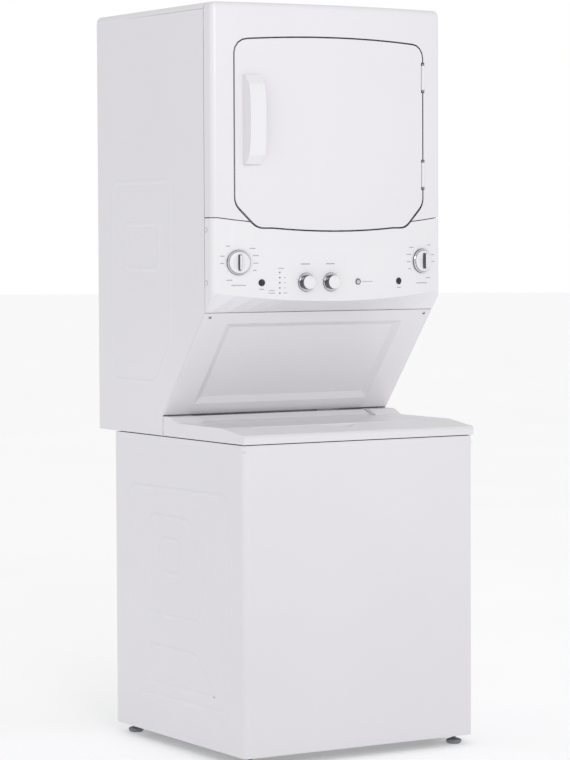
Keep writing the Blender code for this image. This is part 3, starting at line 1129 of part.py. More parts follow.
def drive():
    spot = (MOTOR_X, 0, MOTOR_Z)
    motor = turned("dryer_motor", [(0, MOTOR_Y), (0.85 * MOTOR_RADIUS, MOTOR_Y), (MOTOR_RADIUS, MOTOR_Y + 0.015),
                                   (MOTOR_RADIUS, MOTOR_Y + MOTOR_LENGTH - 0.015),
                                   (0.85 * MOTOR_RADIUS, MOTOR_Y + MOTOR_LENGTH), (0, MOTOR_Y + MOTOR_LENGTH)],
                   spot, "Y", 16, "steel")
    foot = 0.7 * MOTOR_RADIUS
    join(motor, box("motor_foot", (MOTOR_X - foot, MOTOR_Y + 0.02, PAN_Z + GAP),
                    (MOTOR_X + foot, MOTOR_Y + MOTOR_LENGTH - 0.02, MOTOR_Z - 0.5 * MOTOR_RADIUS)))
    cut(motor, rod("shaft_bore", MOTOR_SHAFT_RADIUS + RUNNING, MOTOR_Y - 0.01, MOTOR_Y + MOTOR_LENGTH + 0.01, spot, "Y", 12))

    wheel_front = BLOWER_Y + BLOWER_WALL + 0.003
    wheel_back = BLOWER_Y + BLOWER_DEPTH - BLOWER_WALL - 0.003
    rs, rp = MOTOR_SHAFT_RADIUS, PULLEY_RADIUS
    belt_low, belt_high = BELT_Y - BELT_WIDTH / 2, BELT_Y + BELT_WIDTH / 2
    flange = BELT_CLEARANCE
    shaft = turned("motor_shaft", [(0, wheel_front), (rs, wheel_front), (rs, belt_low - 0.004), (rp + 0.003, belt_low - 0.004),
                                   (rp + 0.003, belt_low - flange), (rp, belt_low - flange), (rp, belt_high + flange),
                                   (rp + 0.003, belt_high + flange), (rp + 0.003, belt_high + 0.004), (0, belt_high + 0.004)],
                   (0, 0, 0), "Y", 12, "steel")
    place(shaft, MOTOR_X, 0, MOTOR_Z)

    hub = rs + GAP + 0.006
    wheel = turned("blower_wheel", [(rs + GAP, wheel_front + 0.02), (hub, wheel_front + 0.02), (hub, wheel_back - 0.002),
                                    (WHEEL_RADIUS, wheel_back - 0.002), (WHEEL_RADIUS, wheel_back), (rs + GAP, wheel_back)],
                   (0, 0, 0), "Y", 16, "black_plastic", closed=True)
    for k in range(WHEEL_BLADES):
        blade = box(f"blade_{k}", (0.62 * WHEEL_RADIUS, wheel_front, -0.001), (0.985 * WHEEL_RADIUS, wheel_back - 0.001, 0.001))
        blade.rotation_euler = (0, math.radians(360 * k / WHEEL_BLADES), 0)
        join(wheel, blade)
    place(wheel, MOTOR_X, 0, MOTOR_Z)

    b, w = BLOWER_Y, BLOWER_WALL
    left, top = MOTOR_X - OUTLET_LENGTH, OUTLET_LOW + OUTLET_HEIGHT
    housing = rod("blower_housing", BLOWER_RADIUS, b, b + BLOWER_DEPTH, spot, "Y", 24, "galvanised")
    join(housing, box("outlet", (left, b, OUTLET_LOW), (MOTOR_X, b + BLOWER_DEPTH, top)))
    inside = rod("volute", BLOWER_RADIUS - w, b + w, b + BLOWER_DEPTH - w, spot, "Y", 24)
    join(inside, box("channel", (left + w, b + w, OUTLET_LOW + w), (MOTOR_X, b + BLOWER_DEPTH - w, top - w)))
    cut(housing, inside, rod("inlet", INLET_RADIUS, b - 0.01, b + 0.01, spot, "Y", 16),
        rod("hub_hole", rs + 2 * RUNNING, b + BLOWER_DEPTH - 0.01, b + BLOWER_DEPTH + 0.01, spot, "Y", 12),
        rod("outlet_hole", DUCT_RADIUS - DUCT_WALL, b + BLOWER_DEPTH - 0.01, b + BLOWER_DEPTH + 0.01, (DUCT_X, 0, DUCT_Z), "Y", 24))
    start = b + BLOWER_DEPTH + GAP
    turned("exhaust_duct", [(DUCT_RADIUS - DUCT_WALL, start), (DUCT_RADIUS, start), (DUCT_RADIUS, BACK_Y),
                            (DUCT_RADIUS - DUCT_WALL, BACK_Y)], (DUCT_X, 0, DUCT_Z), "Y", 24, "galvanised", closed=True)

    # the belt's lower run between drum and pulley, and the roller that presses it outwards
    away = Vector((MOTOR_X, MOTOR_Z - DRUM_Z))
    lean = math.acos((DRUM_RADIUS - PULLEY_RADIUS) / away.length)
    angle = math.atan2(away.y, away.x) - lean
    out = Vector((math.cos(angle), math.sin(angle)))
    on_drum = Vector((0, DRUM_Z)) + out * DRUM_RADIUS
    on_pulley = Vector((MOTOR_X, MOTOR_Z)) + out * PULLEY_RADIUS
    roller = on_drum.lerp(on_pulley, IDLER_PLACE) - out * (IDLER_RADIUS - IDLER_PRESS)
    belt("drum_belt", [(0, DRUM_Z, DRUM_RADIUS), (MOTOR_X, MOTOR_Z, PULLEY_RADIUS), (*roller, IDLER_RADIUS)],
         "Y", belt_low, belt_high, sides=DRUM_SIDES)

    pivot_spot = Vector((MOTOR_X - IDLER_PIVOT, MOTOR_Z - IDLER_PIVOT))
    face = MOTOR_Y + MOTOR_LENGTH + GAP
    arm_back = belt_low - 2 * BELT_CLEARANCE
    arm_front = arm_back - IDLER_ARM_THICKNESS
    side = (roller - pivot_spot).orthogonal().normalized() * IDLER_ARM_WIDTH / 2
    along_arm = (roller - pivot_spot).normalized() * IDLER_ARM_WIDTH / 2
    a, c = pivot_spot - along_arm, roller + along_arm
    arm = prism("idler_arm", [tuple(a + side), tuple(a - side), tuple(c - side), tuple(c + side)], "Y", arm_front, arm_back, "galvanised")
    join(arm, rod("arm_boss", 1.5 * IDLER_PIN_RADIUS, face, arm_front + 0.001, (pivot_spot.x, 0, pivot_spot.y), "Y", 16),
         rod("roller_pin", IDLER_PIN_RADIUS, arm_front + 0.001, belt_high + 0.002, (roller.x, 0, roller.y), "Y", 16))
    pivot(arm, (pivot_spot.x, 0, pivot_spot.y))
    bore = IDLER_PIN_RADIUS + RUNNING
    wheel = turned("idler_roller", [(bore, belt_low - BELT_CLEARANCE), (IDLER_RADIUS, belt_low - BELT_CLEARANCE),
                                    (IDLER_RADIUS, belt_high + BELT_CLEARANCE), (bore, belt_high + BELT_CLEARANCE)],
                   (0, 0, 0), "Y", 16, "black_plastic", closed=True)
    place(wheel, roller.x, 0, roller.y)


def main():
    for old in list(bpy.data.objects):
        bpy.data.objects.remove(old, do_unlink=True)
    make_materials()
    washer_body()
    top_cover()
    washer_lid()
    washer_works()
    dryer_shell()
    slanted_panel()
    front = front_panel()
    panel = console()
    controls(panel)
    door(front)
    bulkheads()
    drum()
    drive()


main()
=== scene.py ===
"""Full-width washer and dryer stack, finished: a top-load washer below, a front-load dryer above.

Metres, +Z up, +Y towards the back, +X to the viewer's right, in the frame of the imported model.
The file follows the appliance from the floor up, one section for each piece or group of like pieces.
"""

import json
import math

import bmesh
import bpy
from mathutils import Matrix, Vector


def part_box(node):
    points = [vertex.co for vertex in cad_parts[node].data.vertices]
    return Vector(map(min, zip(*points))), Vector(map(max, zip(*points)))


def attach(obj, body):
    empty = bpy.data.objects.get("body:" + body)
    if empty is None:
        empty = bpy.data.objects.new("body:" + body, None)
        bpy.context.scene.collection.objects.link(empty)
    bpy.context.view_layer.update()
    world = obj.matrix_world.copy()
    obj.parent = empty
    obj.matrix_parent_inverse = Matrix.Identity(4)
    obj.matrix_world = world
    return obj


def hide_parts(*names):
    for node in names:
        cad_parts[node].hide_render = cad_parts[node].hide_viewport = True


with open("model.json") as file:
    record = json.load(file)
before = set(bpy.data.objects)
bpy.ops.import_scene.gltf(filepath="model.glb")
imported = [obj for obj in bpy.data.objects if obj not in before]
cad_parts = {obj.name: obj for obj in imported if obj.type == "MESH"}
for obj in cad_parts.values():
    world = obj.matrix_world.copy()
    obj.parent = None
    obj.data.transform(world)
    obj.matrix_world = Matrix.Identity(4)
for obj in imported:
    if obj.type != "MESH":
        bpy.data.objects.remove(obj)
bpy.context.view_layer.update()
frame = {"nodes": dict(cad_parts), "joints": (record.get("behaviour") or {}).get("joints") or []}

# ---- studio --------------------------------------------------------------------------------------
# A plain pale floor under an even white surround, as a showroom cove is lit. One large soft lamp
# stands high in front, so the upper cabinet is a little brighter than the lower one.
FLOOR_RADIUS = 60.0
SURROUND_LIGHT = 0.70
SURROUND_SEEN = 1.0
KEY_PLACE = Vector((-1.3, -4.6, 3.1))
KEY_AIM = Vector((0.0, -0.25, 1.75))
KEY_SIZE = 2.4
KEY_POWER = 5.5
KEY_SPREAD = math.radians(45)
CAMERA_PLACE = Vector((-3.88745, -6.47451, 1.30962))
CAMERA_TURN = -0.542156
CAMERA_TILT = -0.049452
CAMERA_ROLL = -0.004264
CAMERA_LENS = 136.48
CAMERA_SENSOR = 36.0


def linear(shade):
    """An sRGB hex colour as linear red, green, blue and 1."""
    steps = [int(shade[k:k + 2], 16) / 255 for k in (1, 3, 5)]
    return (*(s / 12.92 if s <= 0.04045 else ((s + 0.055) / 1.055) ** 2.4 for s in steps), 1.0)


def add(tree, kind, settings=(), links=()):
    """A node with its settings and links, each by attribute, by input name or by input number."""
    node = tree.nodes.new(kind)
    for key, value in dict(settings).items():
        if isinstance(key, str) and hasattr(node, key):
            setattr(node, key, value)
        else:
            node.inputs[key].default_value = value
    for key, output in dict(links).items():
        tree.links.new(output, node.inputs[key])
    return node


def skin(name, light, dark, roughness, drift, grain, depth, **shader):
    """A material whose shade drifts over patches of the size drift, with a skin grained at the size
    grain and the height depth. Every other value goes straight to the shader."""
    made = bpy.data.materials.new(name)
    made.use_nodes = True
    tree = made.node_tree
    surface = tree.nodes["Principled BSDF"]
    place = add(tree, "ShaderNodeTexCoord").outputs["Object"]
    patches = add(tree, "ShaderNodeTexNoise", {"Scale": 1 / drift, "Detail": 3.0}, {"Vector": place})
    shade = add(tree, "ShaderNodeMix", {"data_type": "RGBA", 6: linear(light), 7: linear(dark)},
                {0: patches.outputs[0]})
    gloss = add(tree, "ShaderNodeMapRange", {3: roughness * 0.85, 4: roughness * 1.15},
                {0: patches.outputs[0]})
    grains = add(tree, "ShaderNodeTexNoise", {"Scale": 1 / grain, "Detail": 2.0}, {"Vector": place})
    relief = add(tree, "ShaderNodeBump", {"Strength": 1.0, "Distance": depth}, {"Height": grains.outputs[0]})
    tree.links.new(shade.outputs[2], surface.inputs["Base Color"])
    tree.links.new(gloss.outputs[0], surface.inputs["Roughness"])
    tree.links.new(relief.outputs[0], surface.inputs["Normal"])
    for key, value in shader.items():
        surface.inputs[key.replace("_", " ")].default_value = value
    return made


# Matt painted studio floor: pale and nearly even, with a soft mottle, lit from below so that it meets
# the surround without a line.
FLOOR_PAINT = skin("studio_floor_paint", "#fbfbfc", "#f4f4f6", 0.75, drift=0.9, grain=0.004, depth=0.0001,
                   Emission_Color=linear("#ffffff"), Emission_Strength=0.28)

form = bmesh.new()
bmesh.ops.create_circle(form, cap_ends=True, segments=96, radius=FLOOR_RADIUS)
floor = bpy.data.objects.new("studio_floor", bpy.data.meshes.new("studio_floor"))
form.to_mesh(floor.data)
form.free()
floor.data.materials.append(FLOOR_PAINT)
bpy.context.scene.collection.objects.link(floor)

surround = bpy.data.worlds.new("white_surround")
surround.use_nodes = True
glow = surround.node_tree.nodes["Background"]
glow.inputs["Color"].default_value = linear("#ffffff")
ray = add(surround.node_tree, "ShaderNodeLightPath")
level = add(surround.node_tree, "ShaderNodeMapRange", {3: SURROUND_LIGHT, 4: SURROUND_SEEN},
            {0: ray.outputs["Is Camera Ray"]})
surround.node_tree.links.new(level.outputs[0], glow.inputs["Strength"])
bpy.context.scene.world = surround
bpy.context.scene.view_settings.view_transform = "Standard"

lamp = bpy.data.lights.new("key_lamp", "AREA")
lamp.shape = "DISK"
lamp.size = KEY_SIZE
lamp.energy = KEY_POWER
lamp.spread = KEY_SPREAD
key = bpy.data.objects.new("key_lamp", lamp)
key.location = KEY_PLACE
key.rotation_euler = (KEY_AIM - KEY_PLACE).to_track_quat("-Z", "Y").to_euler()
bpy.context.scene.collection.objects.link(key)

lens = bpy.data.cameras.new("camera")
lens.sensor_fit = "VERTICAL"
lens.sensor_height = CAMERA_SENSOR
lens.lens = CAMERA_LENS
camera = bpy.data.objects.new("camera", lens)
camera.matrix_world = (Matrix.Translation(CAMERA_PLACE) @ Matrix.Rotation(CAMERA_TURN, 4, "Z")
                       @ Matrix.Rotation(math.pi / 2 + CAMERA_TILT, 4, "X")
                       @ Matrix.Rotation(CAMERA_ROLL, 4, "Z"))
bpy.context.scene.collection.objects.link(camera)
bpy.context.scene.camera = camera

# ---- washer cabinet ------------------------------------------------------------------------------
# One sheet of steel wrapped round three sides, pressed with stiffening beads, then enamelled and
# baked. The enamel gives a smooth white gloss with the faintest orange peel.
SIDE_BEAD_HEIGHT = 0.0009
BEAD_ROOT = 0.0002  # how far a bead's foot sinks in the sheet
SIDE_BEAD_SLOPE = 0.005
SIDE_BEAD_WIDTH = 0.006
BEAD_ROUNDING = 0.030
SIDE_FIELD = ((0.209, 0.118), (0.209, 0.671), (-0.309, 0.677), (-0.309, 0.118))  # y, z
SIDE_WEDGE = ((0.100, 0.601), (-0.118, 0.601), (-0.209, 0.430), (-0.170, 0.330), (0.130, 0.330))
SIDE_BOX = ((0.041, 0.440), (0.041, 0.544), (-0.075, 0.544), (-0.075, 0.440))
SIDE_ARCH = ((0.150, 0.150), (0.110, 0.262), (-0.150, 0.262), (-0.262, 0.150))

ENAMEL = skin("baked_white_enamel", "#ebe9ed", "#e6e4e8", 0.30, drift=0.35, grain=0.0016, depth=0.00002,
              Coat_Weight=0.35, Coat_Roughness=0.08)


def coat(material, *nodes):
    """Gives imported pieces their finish."""
    for name in nodes:
        for place in frame["nodes"][name].material_slots:
            place.material = material


def fitted(name, form, material, body, stands_for=(), smooth=35):
    """A finished piece from a bmesh, painted and riding on its body."""
    mesh = bpy.data.meshes.new(name)
    form.to_mesh(mesh)
    form.free()
    mesh.shade_smooth()
    mesh.set_sharp_from_angle(angle=math.radians(smooth))
    mesh.materials.append(material)
    piece = bpy.data.objects.new(name, mesh)
    bpy.context.scene.collection.objects.link(piece)
    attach(piece, body)
    if stands_for:
        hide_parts(*stands_for)
    return piece


def gather(form, part):
    """Moves one bmesh into another."""
    loose = bpy.data.meshes.new("loose")
    part.to_mesh(loose)
    part.free()
    form.from_mesh(loose)
    bpy.data.meshes.remove(loose)


def pressing(outline, side, face_x):
    """A shallow bead pressed round a field of a cabinet side, its corners rounded."""
    part = bmesh.new()
    corners = [part.verts.new((side * (face_x - 2 * BEAD_ROOT), y, z)) for y, z in outline]
    part.faces.new(corners)
    bmesh.ops.bevel(part, geom=corners, offset=BEAD_ROUNDING, segments=6, profile=0.5,
                    affect="VERTICES", material=-1)
    field = max(part.faces, key=lambda face: face.calc_area())
    field.normal_update()
    if field.normal.x * side < 0:
        bmesh.ops.reverse_faces(part, faces=[field])
    for width, rise in ((SIDE_BEAD_SLOPE, SIDE_BEAD_HEIGHT + 2 * BEAD_ROOT), (SIDE_BEAD_WIDTH, 0.0),
                        (SIDE_BEAD_SLOPE, -SIDE_BEAD_HEIGHT - BEAD_ROOT)):
        part.normal_update()
        bmesh.ops.inset_region(part, faces=[field], thickness=width, depth=rise,
                               use_even_offset=True, use_boundary=True)
    bmesh.ops.contextual_create(part, geom=[e for e in part.edges if e.is_boundary])
    bmesh.ops.recalc_face_normals(part, faces=part.faces[:])
    return part


coat(ENAMEL, "washer_cabinet")
for side, hand in ((-1, "left"), (1, "right")):
    face_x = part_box("washer_cabinet")[1][0]
    for outline, name in ((SIDE_FIELD, "field"), (SIDE_WEDGE, "wedge"), (SIDE_BOX, "box"),
                          (SIDE_ARCH, "arch")):
        fitted(f"washer_side_{name}_{hand}", pressing(outline, side, face_x), ENAMEL, "frame")

# ---- washer base, feet and back ------------------------------------------------------------------
# The base is a galvanised steel channel frame on four screw feet of nylon. The back is a plain
# galvanised sheet held by hex-headed screws.
SPANGLE = 0.014
SCREW_RADIUS = 0.0045
SCREW_RISE = 0.0028
SCREW_SOCKET = 0.0014
BACK_SCREW_INSET = 0.008
BACK_SCREW_PITCH = 0.115


def zinc(name, light, dark, roughness, spangle):
    """Hot-dipped zinc: flat crystals of slightly different greys, each catching the light its own way."""
    made = bpy.data.materials.new(name)
    made.use_nodes = True
    tree = made.node_tree
    surface = tree.nodes["Principled BSDF"]
    surface.inputs["Metallic"].default_value = 0.9
    place = add(tree, "ShaderNodeTexCoord").outputs["Object"]
    crystals = add(tree, "ShaderNodeTexVoronoi", {"Scale": 1 / spangle}, {"Vector": place})
    tone = add(tree, "ShaderNodeRGBToBW", (), {"Color": crystals.outputs["Color"]}).outputs[0]
    shade = add(tree, "ShaderNodeMix", {"data_type": "RGBA", 6: linear(light), 7: linear(dark)}, {0: tone})
    gloss = add(tree, "ShaderNodeMapRange", {3: roughness * 0.8, 4: roughness * 1.25}, {0: tone})
    tree.links.new(shade.outputs[2], surface.inputs["Base Color"])
    tree.links.new(gloss.outputs[0], surface.inputs["Roughness"])
    relief = add(tree, "ShaderNodeBump", {"Strength": 1.0, "Distance": 0.00003}, {"Height": tone})
    tree.links.new(relief.outputs[0], surface.inputs["Normal"])
    return made


GALVANISED = zinc("galvanised_steel_sheet", "#cfd1d3", "#b3b6b9", 0.42, SPANGLE)

# Moulded glass-filled nylon: mid grey, dull, with a fine sandy skin.
GREY_NYLON = skin("moulded_grey_nylon", "#8d8f93", "#7e8085", 0.55, drift=0.05, grain=0.0008, depth=0.00004)


def drawn(name, light, dark, roughness, stretch, grain, metallic=1.0):
    """Bare metal with fine working lines: the grain is stretched along the way the metal was worked."""
    made = bpy.data.materials.new(name)
    made.use_nodes = True
    tree = made.node_tree
    surface = tree.nodes["Principled BSDF"]
    surface.inputs["Metallic"].default_value = metallic
    place = add(tree, "ShaderNodeTexCoord").outputs["Object"]
    laid = add(tree, "ShaderNodeMapping", {"Scale": stretch}, {"Vector": place})
    lines = add(tree, "ShaderNodeTexNoise", {"Scale": 1 / grain, "Detail": 4.0}, {"Vector": laid.outputs[0]})
    shade = add(tree, "ShaderNodeMix", {"data_type": "RGBA", 6: linear(light), 7: linear(dark)},
                {0: lines.outputs[0]})
    gloss = add(tree, "ShaderNodeMapRange", {3: roughness * 0.75, 4: roughness * 1.3}, {0: lines.outputs[0]})
    relief = add(tree, "ShaderNodeBump", {"Strength": 0.6, "Distance": 0.00002}, {"Height": lines.outputs[0]})
    tree.links.new(shade.outputs[2], surface.inputs["Base Color"])
    tree.links.new(gloss.outputs[0], surface.inputs["Roughness"])
    tree.links.new(relief.outputs[0], surface.inputs["Normal"])
    return made


# Zinc-plated steel for screws and pins, turned, so its lines run round and across.
PLATED_STEEL = drawn("zinc_plated_steel", "#c4c5c8", "#a5a7aa", 0.32, (1, 1, 1), 0.0012)


def turned(profile, steps, place):
    """A profile of (radius, height) points spun round an axis that leaves the surface at place by -Y."""
    part = bmesh.new()
    points = [part.verts.new((radius, -height, 0)) for radius, height in profile]
    edges = [part.edges.new(pair) for pair in zip(points, points[1:])]
    bmesh.ops.spin(part, geom=points + edges, axis=(0, 1, 0), cent=(0, 0, 0), angle=2 * math.pi,
                   steps=steps, use_merge=True)
    bmesh.ops.remove_doubles(part, verts=part.verts, dist=1e-6)
    bmesh.ops.recalc_face_normals(part, faces=part.faces)
    bmesh.ops.transform(part, matrix=place, verts=part.verts)
    return part


def seat(node, start, way):
    """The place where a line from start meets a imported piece: -Y points out of its skin, Z is up."""
    hit, spot, normal, _ = frame["nodes"][node].ray_cast(Vector(start), Vector(way))
    if not hit:
        raise ValueError(f"nothing of {node} lies {way} of {start}")
    return Matrix.Translation(spot) @ (-normal).to_track_quat("Y", "Z").to_matrix().to_4x4()


def screw(place):
    """A hex-headed sheet-metal screw on its washer face."""
    r, h, s = SCREW_RADIUS, SCREW_RISE, SCREW_SOCKET
    part = turned([(0, 0), (1.35 * r, 0), (1.35 * r, 0.25 * h), (r, 0.3 * h), (0, 0.3 * h)], 24, place)
    head = turned([(0, 0.2 * h), (r, 0.2 * h), (r, 0.85 * h), (0.8 * r, h), (0.55 * r, h), (0.45 * r, h - s),
                   (0, h - s)], 6, place)
    gather(part, head)
    return part


bpy.context.view_layer.update()
coat(GALVANISED, "base_frame", "washer_back_panel")
coat(GREY_NYLON, *[f"leveling_foot_{end}_{hand}" for end in ("front", "back") for hand in ("left", "right")])
low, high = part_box("washer_back_panel")
form = bmesh.new()
count = int((high[2] - low[2]) / BACK_SCREW_PITCH)
for k in range(count):
    z = low[2] + (high[2] - low[2]) * (k + 0.5) / count
    for side in (-1, 1):
        x = side * (high[0] - BACK_SCREW_INSET)
        gather(form, screw(seat("washer_back_panel", (x, 1, z), (0, -1, 0))))
fitted("washer_back_screws", form, PLATED_STEEL, "frame")

# ---- washer works --------------------------------------------------------------------------------
# A polypropylene tub hangs on four sprung rods; the stainless basket spins in it round a moulded
# agitator, driven by a belt from a motor beside the cast gearcase.
HOLE_RADIUS = 0.0026
HOLE_ROWS = 9
HOLE_COLUMNS = 26
HOLE_DISC = 0.0003

# Moulded polypropylene: milky, dull and slightly waxy.
TUB_PLASTIC = skin("moulded_polypropylene", "#dfe1e3", "#d3d5d8", 0.50, drift=0.08, grain=0.0012,
                   depth=0.00004, Subsurface_Weight=0.05, Subsurface_Scale=0.002)
# Rolled stainless sheet, brushed round the basket.
STAINLESS = drawn("brushed_stainless_sheet", "#d4d5d7", "#babbbe", 0.28, (1, 1, 24), 0.004)
# Cold-rolled steel of the motor shells, drawn along the shaft.
ROLLED_STEEL = drawn("cold_rolled_steel", "#b9babc", "#9a9b9e", 0.36, (1, 1, 6), 0.003)
# Sand-cast aluminium: pale, dull and pitted.
CAST_ALUMINIUM = drawn("sand_cast_aluminium", "#b4b6b8", "#9b9da0", 0.52, (1, 1, 1), 0.0016)
# Ribbed belt rubber: near black and dull.
BELT_RUBBER = skin("belt_rubber", "#232324", "#1b1b1c", 0.75, drift=0.03, grain=0.0008, depth=0.00005)
# Injection-moulded white ABS of the agitator, knobs and console: a clean satin white.
WHITE_ABS = skin("moulded_white_abs", "#edecef", "#e9e8eb", 0.33, drift=0.20, grain=0.0009, depth=0.000012,
                 Coat_Weight=0.2, Coat_Roughness=0.12)
# The shadow seen through a punched hole.
HOLE_DARK = skin("punched_hole_shadow", "#3a3b3d", "#303133", 0.80, drift=0.02, grain=0.001, depth=0.00001)

coat(TUB_PLASTIC, "outer_tub", "tub_cover")
coat(STAINLESS, "wash_basket")
coat(GREY_NYLON, "balance_ring", "drain_pump")
coat(WHITE_ABS, "agitator", "water_valve")
coat(CAST_ALUMINIUM, "gearcase", "drive_pulley")
coat(ROLLED_STEEL, "washer_motor", "washer_motor_pulley")
coat(PLATED_STEEL, *[f"suspension_rod_{end}_{hand}" for end in ("front", "back") for hand in ("left", "right")])
coat(BELT_RUBBER, "washer_belt")

def punched(radius, place):
    """The painted shadow of a punched hole, as a thin dark disc that stands just clear of the sheet."""
    return turned([(0, 0), (1.3 * radius, 0), (radius, HOLE_DISC), (0, HOLE_DISC)], 10, place)


basket_low, basket_high = (Vector(corner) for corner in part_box("wash_basket"))
basket_mid = (basket_low + basket_high) / 2
form = bmesh.new()
for row in range(HOLE_ROWS):
    z = basket_low.z + 0.06 + (basket_high.z - basket_low.z - 0.14) * row / (HOLE_ROWS - 1)
    for column in range(HOLE_COLUMNS):
        angle = 2 * math.pi * (column + 0.5 * (row % 2)) / HOLE_COLUMNS
        out = (math.cos(angle), math.sin(angle), 0)
        hole = seat("wash_basket", (basket_mid.x, basket_mid.y, z), out)
        gather(form, punched(HOLE_RADIUS, hole))
fitted("wash_basket_holes", form, HOLE_DARK, "basket")

# ---- washer top cover and lid --------------------------------------------------------------------
# The top cover is one enamelled steel pressing with a loading mouth, a finger scoop and two hinge
# shoulders. The lid is a hollow enamelled pan that turns on two pins, with two rubber bumpers.
BUMPER_RADIUS = 0.006
BUMPER_RISE = 0.0008
BUMPER_INSET = 0.05

coat(ENAMEL, "washer_top_cover", "washer_lid")
low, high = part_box("washer_lid")
form = bmesh.new()
for side in (-1, 1):
    spot = (Matrix.Translation((side * (high[0] - BUMPER_INSET), low[1] + 0.003, low[2]))
            @ Matrix.Rotation(math.pi / 2, 4, "X"))
    r, h = BUMPER_RADIUS / 2, BUMPER_RISE
    gather(form, turned([(0, 0), (r, 0), (r, h), (0, h)], 16, spot))
fitted("washer_lid_bumpers", form, BELT_RUBBER, "washer_lid")

# ---- dryer cabinet -------------------------------------------------------------------------------
# Two enamelled side sheets with shallow pressed fields, an enamelled top and a galvanised back with
# pressed louvres, joined by screws along the back edges.
DRYER_FIELD = ((0.300, 0.930), (0.300, 1.463), (-0.030, 1.463), (-0.030, 1.040), (0.050, 0.930))
DRYER_BOX = ((0.229, 1.221), (0.229, 1.354), (0.030, 1.354), (0.030, 1.221))
LOUVRE_LENGTH = 0.080
LOUVRE_WIDTH = 0.009
LOUVRE_RISE = 0.004
LOUVRE_PITCH = 0.024
LOUVRE_ROWS = 6

coat(ENAMEL, "dryer_side_left", "dryer_side_right", "dryer_top_panel")
coat(GALVANISED, "dryer_back_panel", "dryer_floor_pan", "terminal_cover", "exhaust_duct", "front_bulkhead",
     "rear_bulkhead", "heater_housing", "blower_housing", "idler_arm")
for side, hand in ((-1, "left"), (1, "right")):
    for outline, name in ((DRYER_FIELD, "field"), (DRYER_BOX, "box")):
        fitted(f"dryer_side_{name}_{hand}", pressing(outline, side, face_x), ENAMEL, "frame")

low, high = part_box("dryer_back_panel")
form = bmesh.new()
count = int((high[2] - low[2]) / BACK_SCREW_PITCH)
for k in range(count):
    z = low[2] + (high[2] - low[2]) * (k + 0.5) / count
    for side in (-1, 1):
        x = side * (high[0] - BACK_SCREW_INSET)
        gather(form, screw(seat("dryer_back_panel", (x, 1, z), (0, -1, 0))))
fitted("dryer_back_screws", form, PLATED_STEEL, "frame")

form = bmesh.new()
for k in range(LOUVRE_ROWS):
    for side in (-1, 1):
        part = bmesh.new()
        bmesh.ops.create_uvsphere(part, u_segments=20, v_segments=12, radius=0.5)
        bmesh.ops.scale(part, vec=(LOUVRE_LENGTH, 2 * LOUVRE_RISE, LOUVRE_WIDTH), verts=part.verts)
        bmesh.ops.bisect_plane(part, geom=part.verts[:] + part.edges[:] + part.faces[:], dist=1e-6,
                               plane_co=(0, 0, 0), plane_no=(0, -1, 0), clear_outer=True)
        bmesh.ops.holes_fill(part, edges=[e for e in part.edges if e.is_boundary], sides=0)
        bmesh.ops.recalc_face_normals(part, faces=part.faces)
        z = high[2] - 0.16 - LOUVRE_PITCH * k
        bmesh.ops.translate(part, verts=part.verts, vec=(side * 0.14, high[1], z))
        gather(form, part)
fitted("dryer_back_louvres", form, GALVANISED, "frame")

# ---- dryer works ---------------------------------------------------------------------------------
# The drum is enamelled steel with three baffles, its back pierced for hot air, turned by a flat belt
# round its outside. The motor also turns the blower, and a sprung roller keeps the belt tight.
VENT_RADIUS = 0.0035
VENT_RINGS = (0.060, 0.085, 0.110, 0.135, 0.160, 0.185)
VENT_PITCH = 0.026

# Light grey enamel, a little duller than the outside.
DRUM_ENAMEL = skin("light_grey_enamel", "#dcdddd", "#d3d4d4", 0.38, drift=0.15, grain=0.0012, depth=0.00002)
# Moulded black nylon of the roller and the fan: dull, slightly grained.
BLACK_NYLON = skin("moulded_black_nylon", "#2a2a2c", "#212123", 0.45, drift=0.05, grain=0.0008, depth=0.00003)
# The lint screen: a fine woven net in a grey moulded frame.
NET_GREY = skin("woven_lint_net", "#b9bbbd", "#84868a", 0.70, drift=0.0012, grain=0.0009, depth=0.0002)

coat(DRUM_ENAMEL, "dryer_drum")
coat(ROLLED_STEEL, "dryer_motor", "motor_shaft")
coat(BLACK_NYLON, "blower_wheel", "idler_roller")
coat(BELT_RUBBER, "drum_belt")
coat(GREY_NYLON, "lint_filter")

drum_low, drum_high = (Vector(corner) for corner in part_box("dryer_drum"))
drum_mid = (drum_low + drum_high) / 2
form = bmesh.new()
for ring in VENT_RINGS:
    count = int(2 * math.pi * ring / VENT_PITCH)
    for k in range(count):
        angle = 2 * math.pi * k / count
        start = (drum_mid.x + ring * math.cos(angle), drum_mid.y, drum_mid.z + ring * math.sin(angle))
        vent = seat("dryer_drum", start, (0, 1, 0))
        gather(form, punched(VENT_RADIUS, vent))
fitted("dryer_drum_vents", form, HOLE_DARK, "drum")

low, high = (Vector(corner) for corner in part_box("lint_filter"))
form = bmesh.new()
bmesh.ops.create_grid(form, x_segments=24, y_segments=12, size=0.5)
bmesh.ops.scale(form, vec=(high.x - low.x - 0.032, high.z - low.z - 0.047, 1), verts=form.verts)
bmesh.ops.rotate(form, matrix=Matrix.Rotation(math.pi / 2, 3, "X"), verts=form.verts)
bmesh.ops.translate(form, verts=form.verts, vec=(0, (low.y + high.y) / 2, (low.z + high.z) / 2 - 0.0075))
bmesh.ops.solidify(form, geom=form.faces[:], thickness=0.0008)
fitted("lint_filter_net", form, NET_GREY, "lint_filter")

# ---- slanted panel -------------------------------------------------------------------------------
# An enamelled steel panel dished in the middle, which slopes back from the console to the washer
# lid. A cross-headed screw holds it at each upper corner.
PANEL_SCREW_X = 0.322
PANEL_SCREW_Z = 1.110
PANEL_SCREW_RADIUS = 0.0042
PANEL_SCREW_RISE = 0.0022
CROSS_LENGTH = 0.0048
CROSS_WIDTH = 0.0012

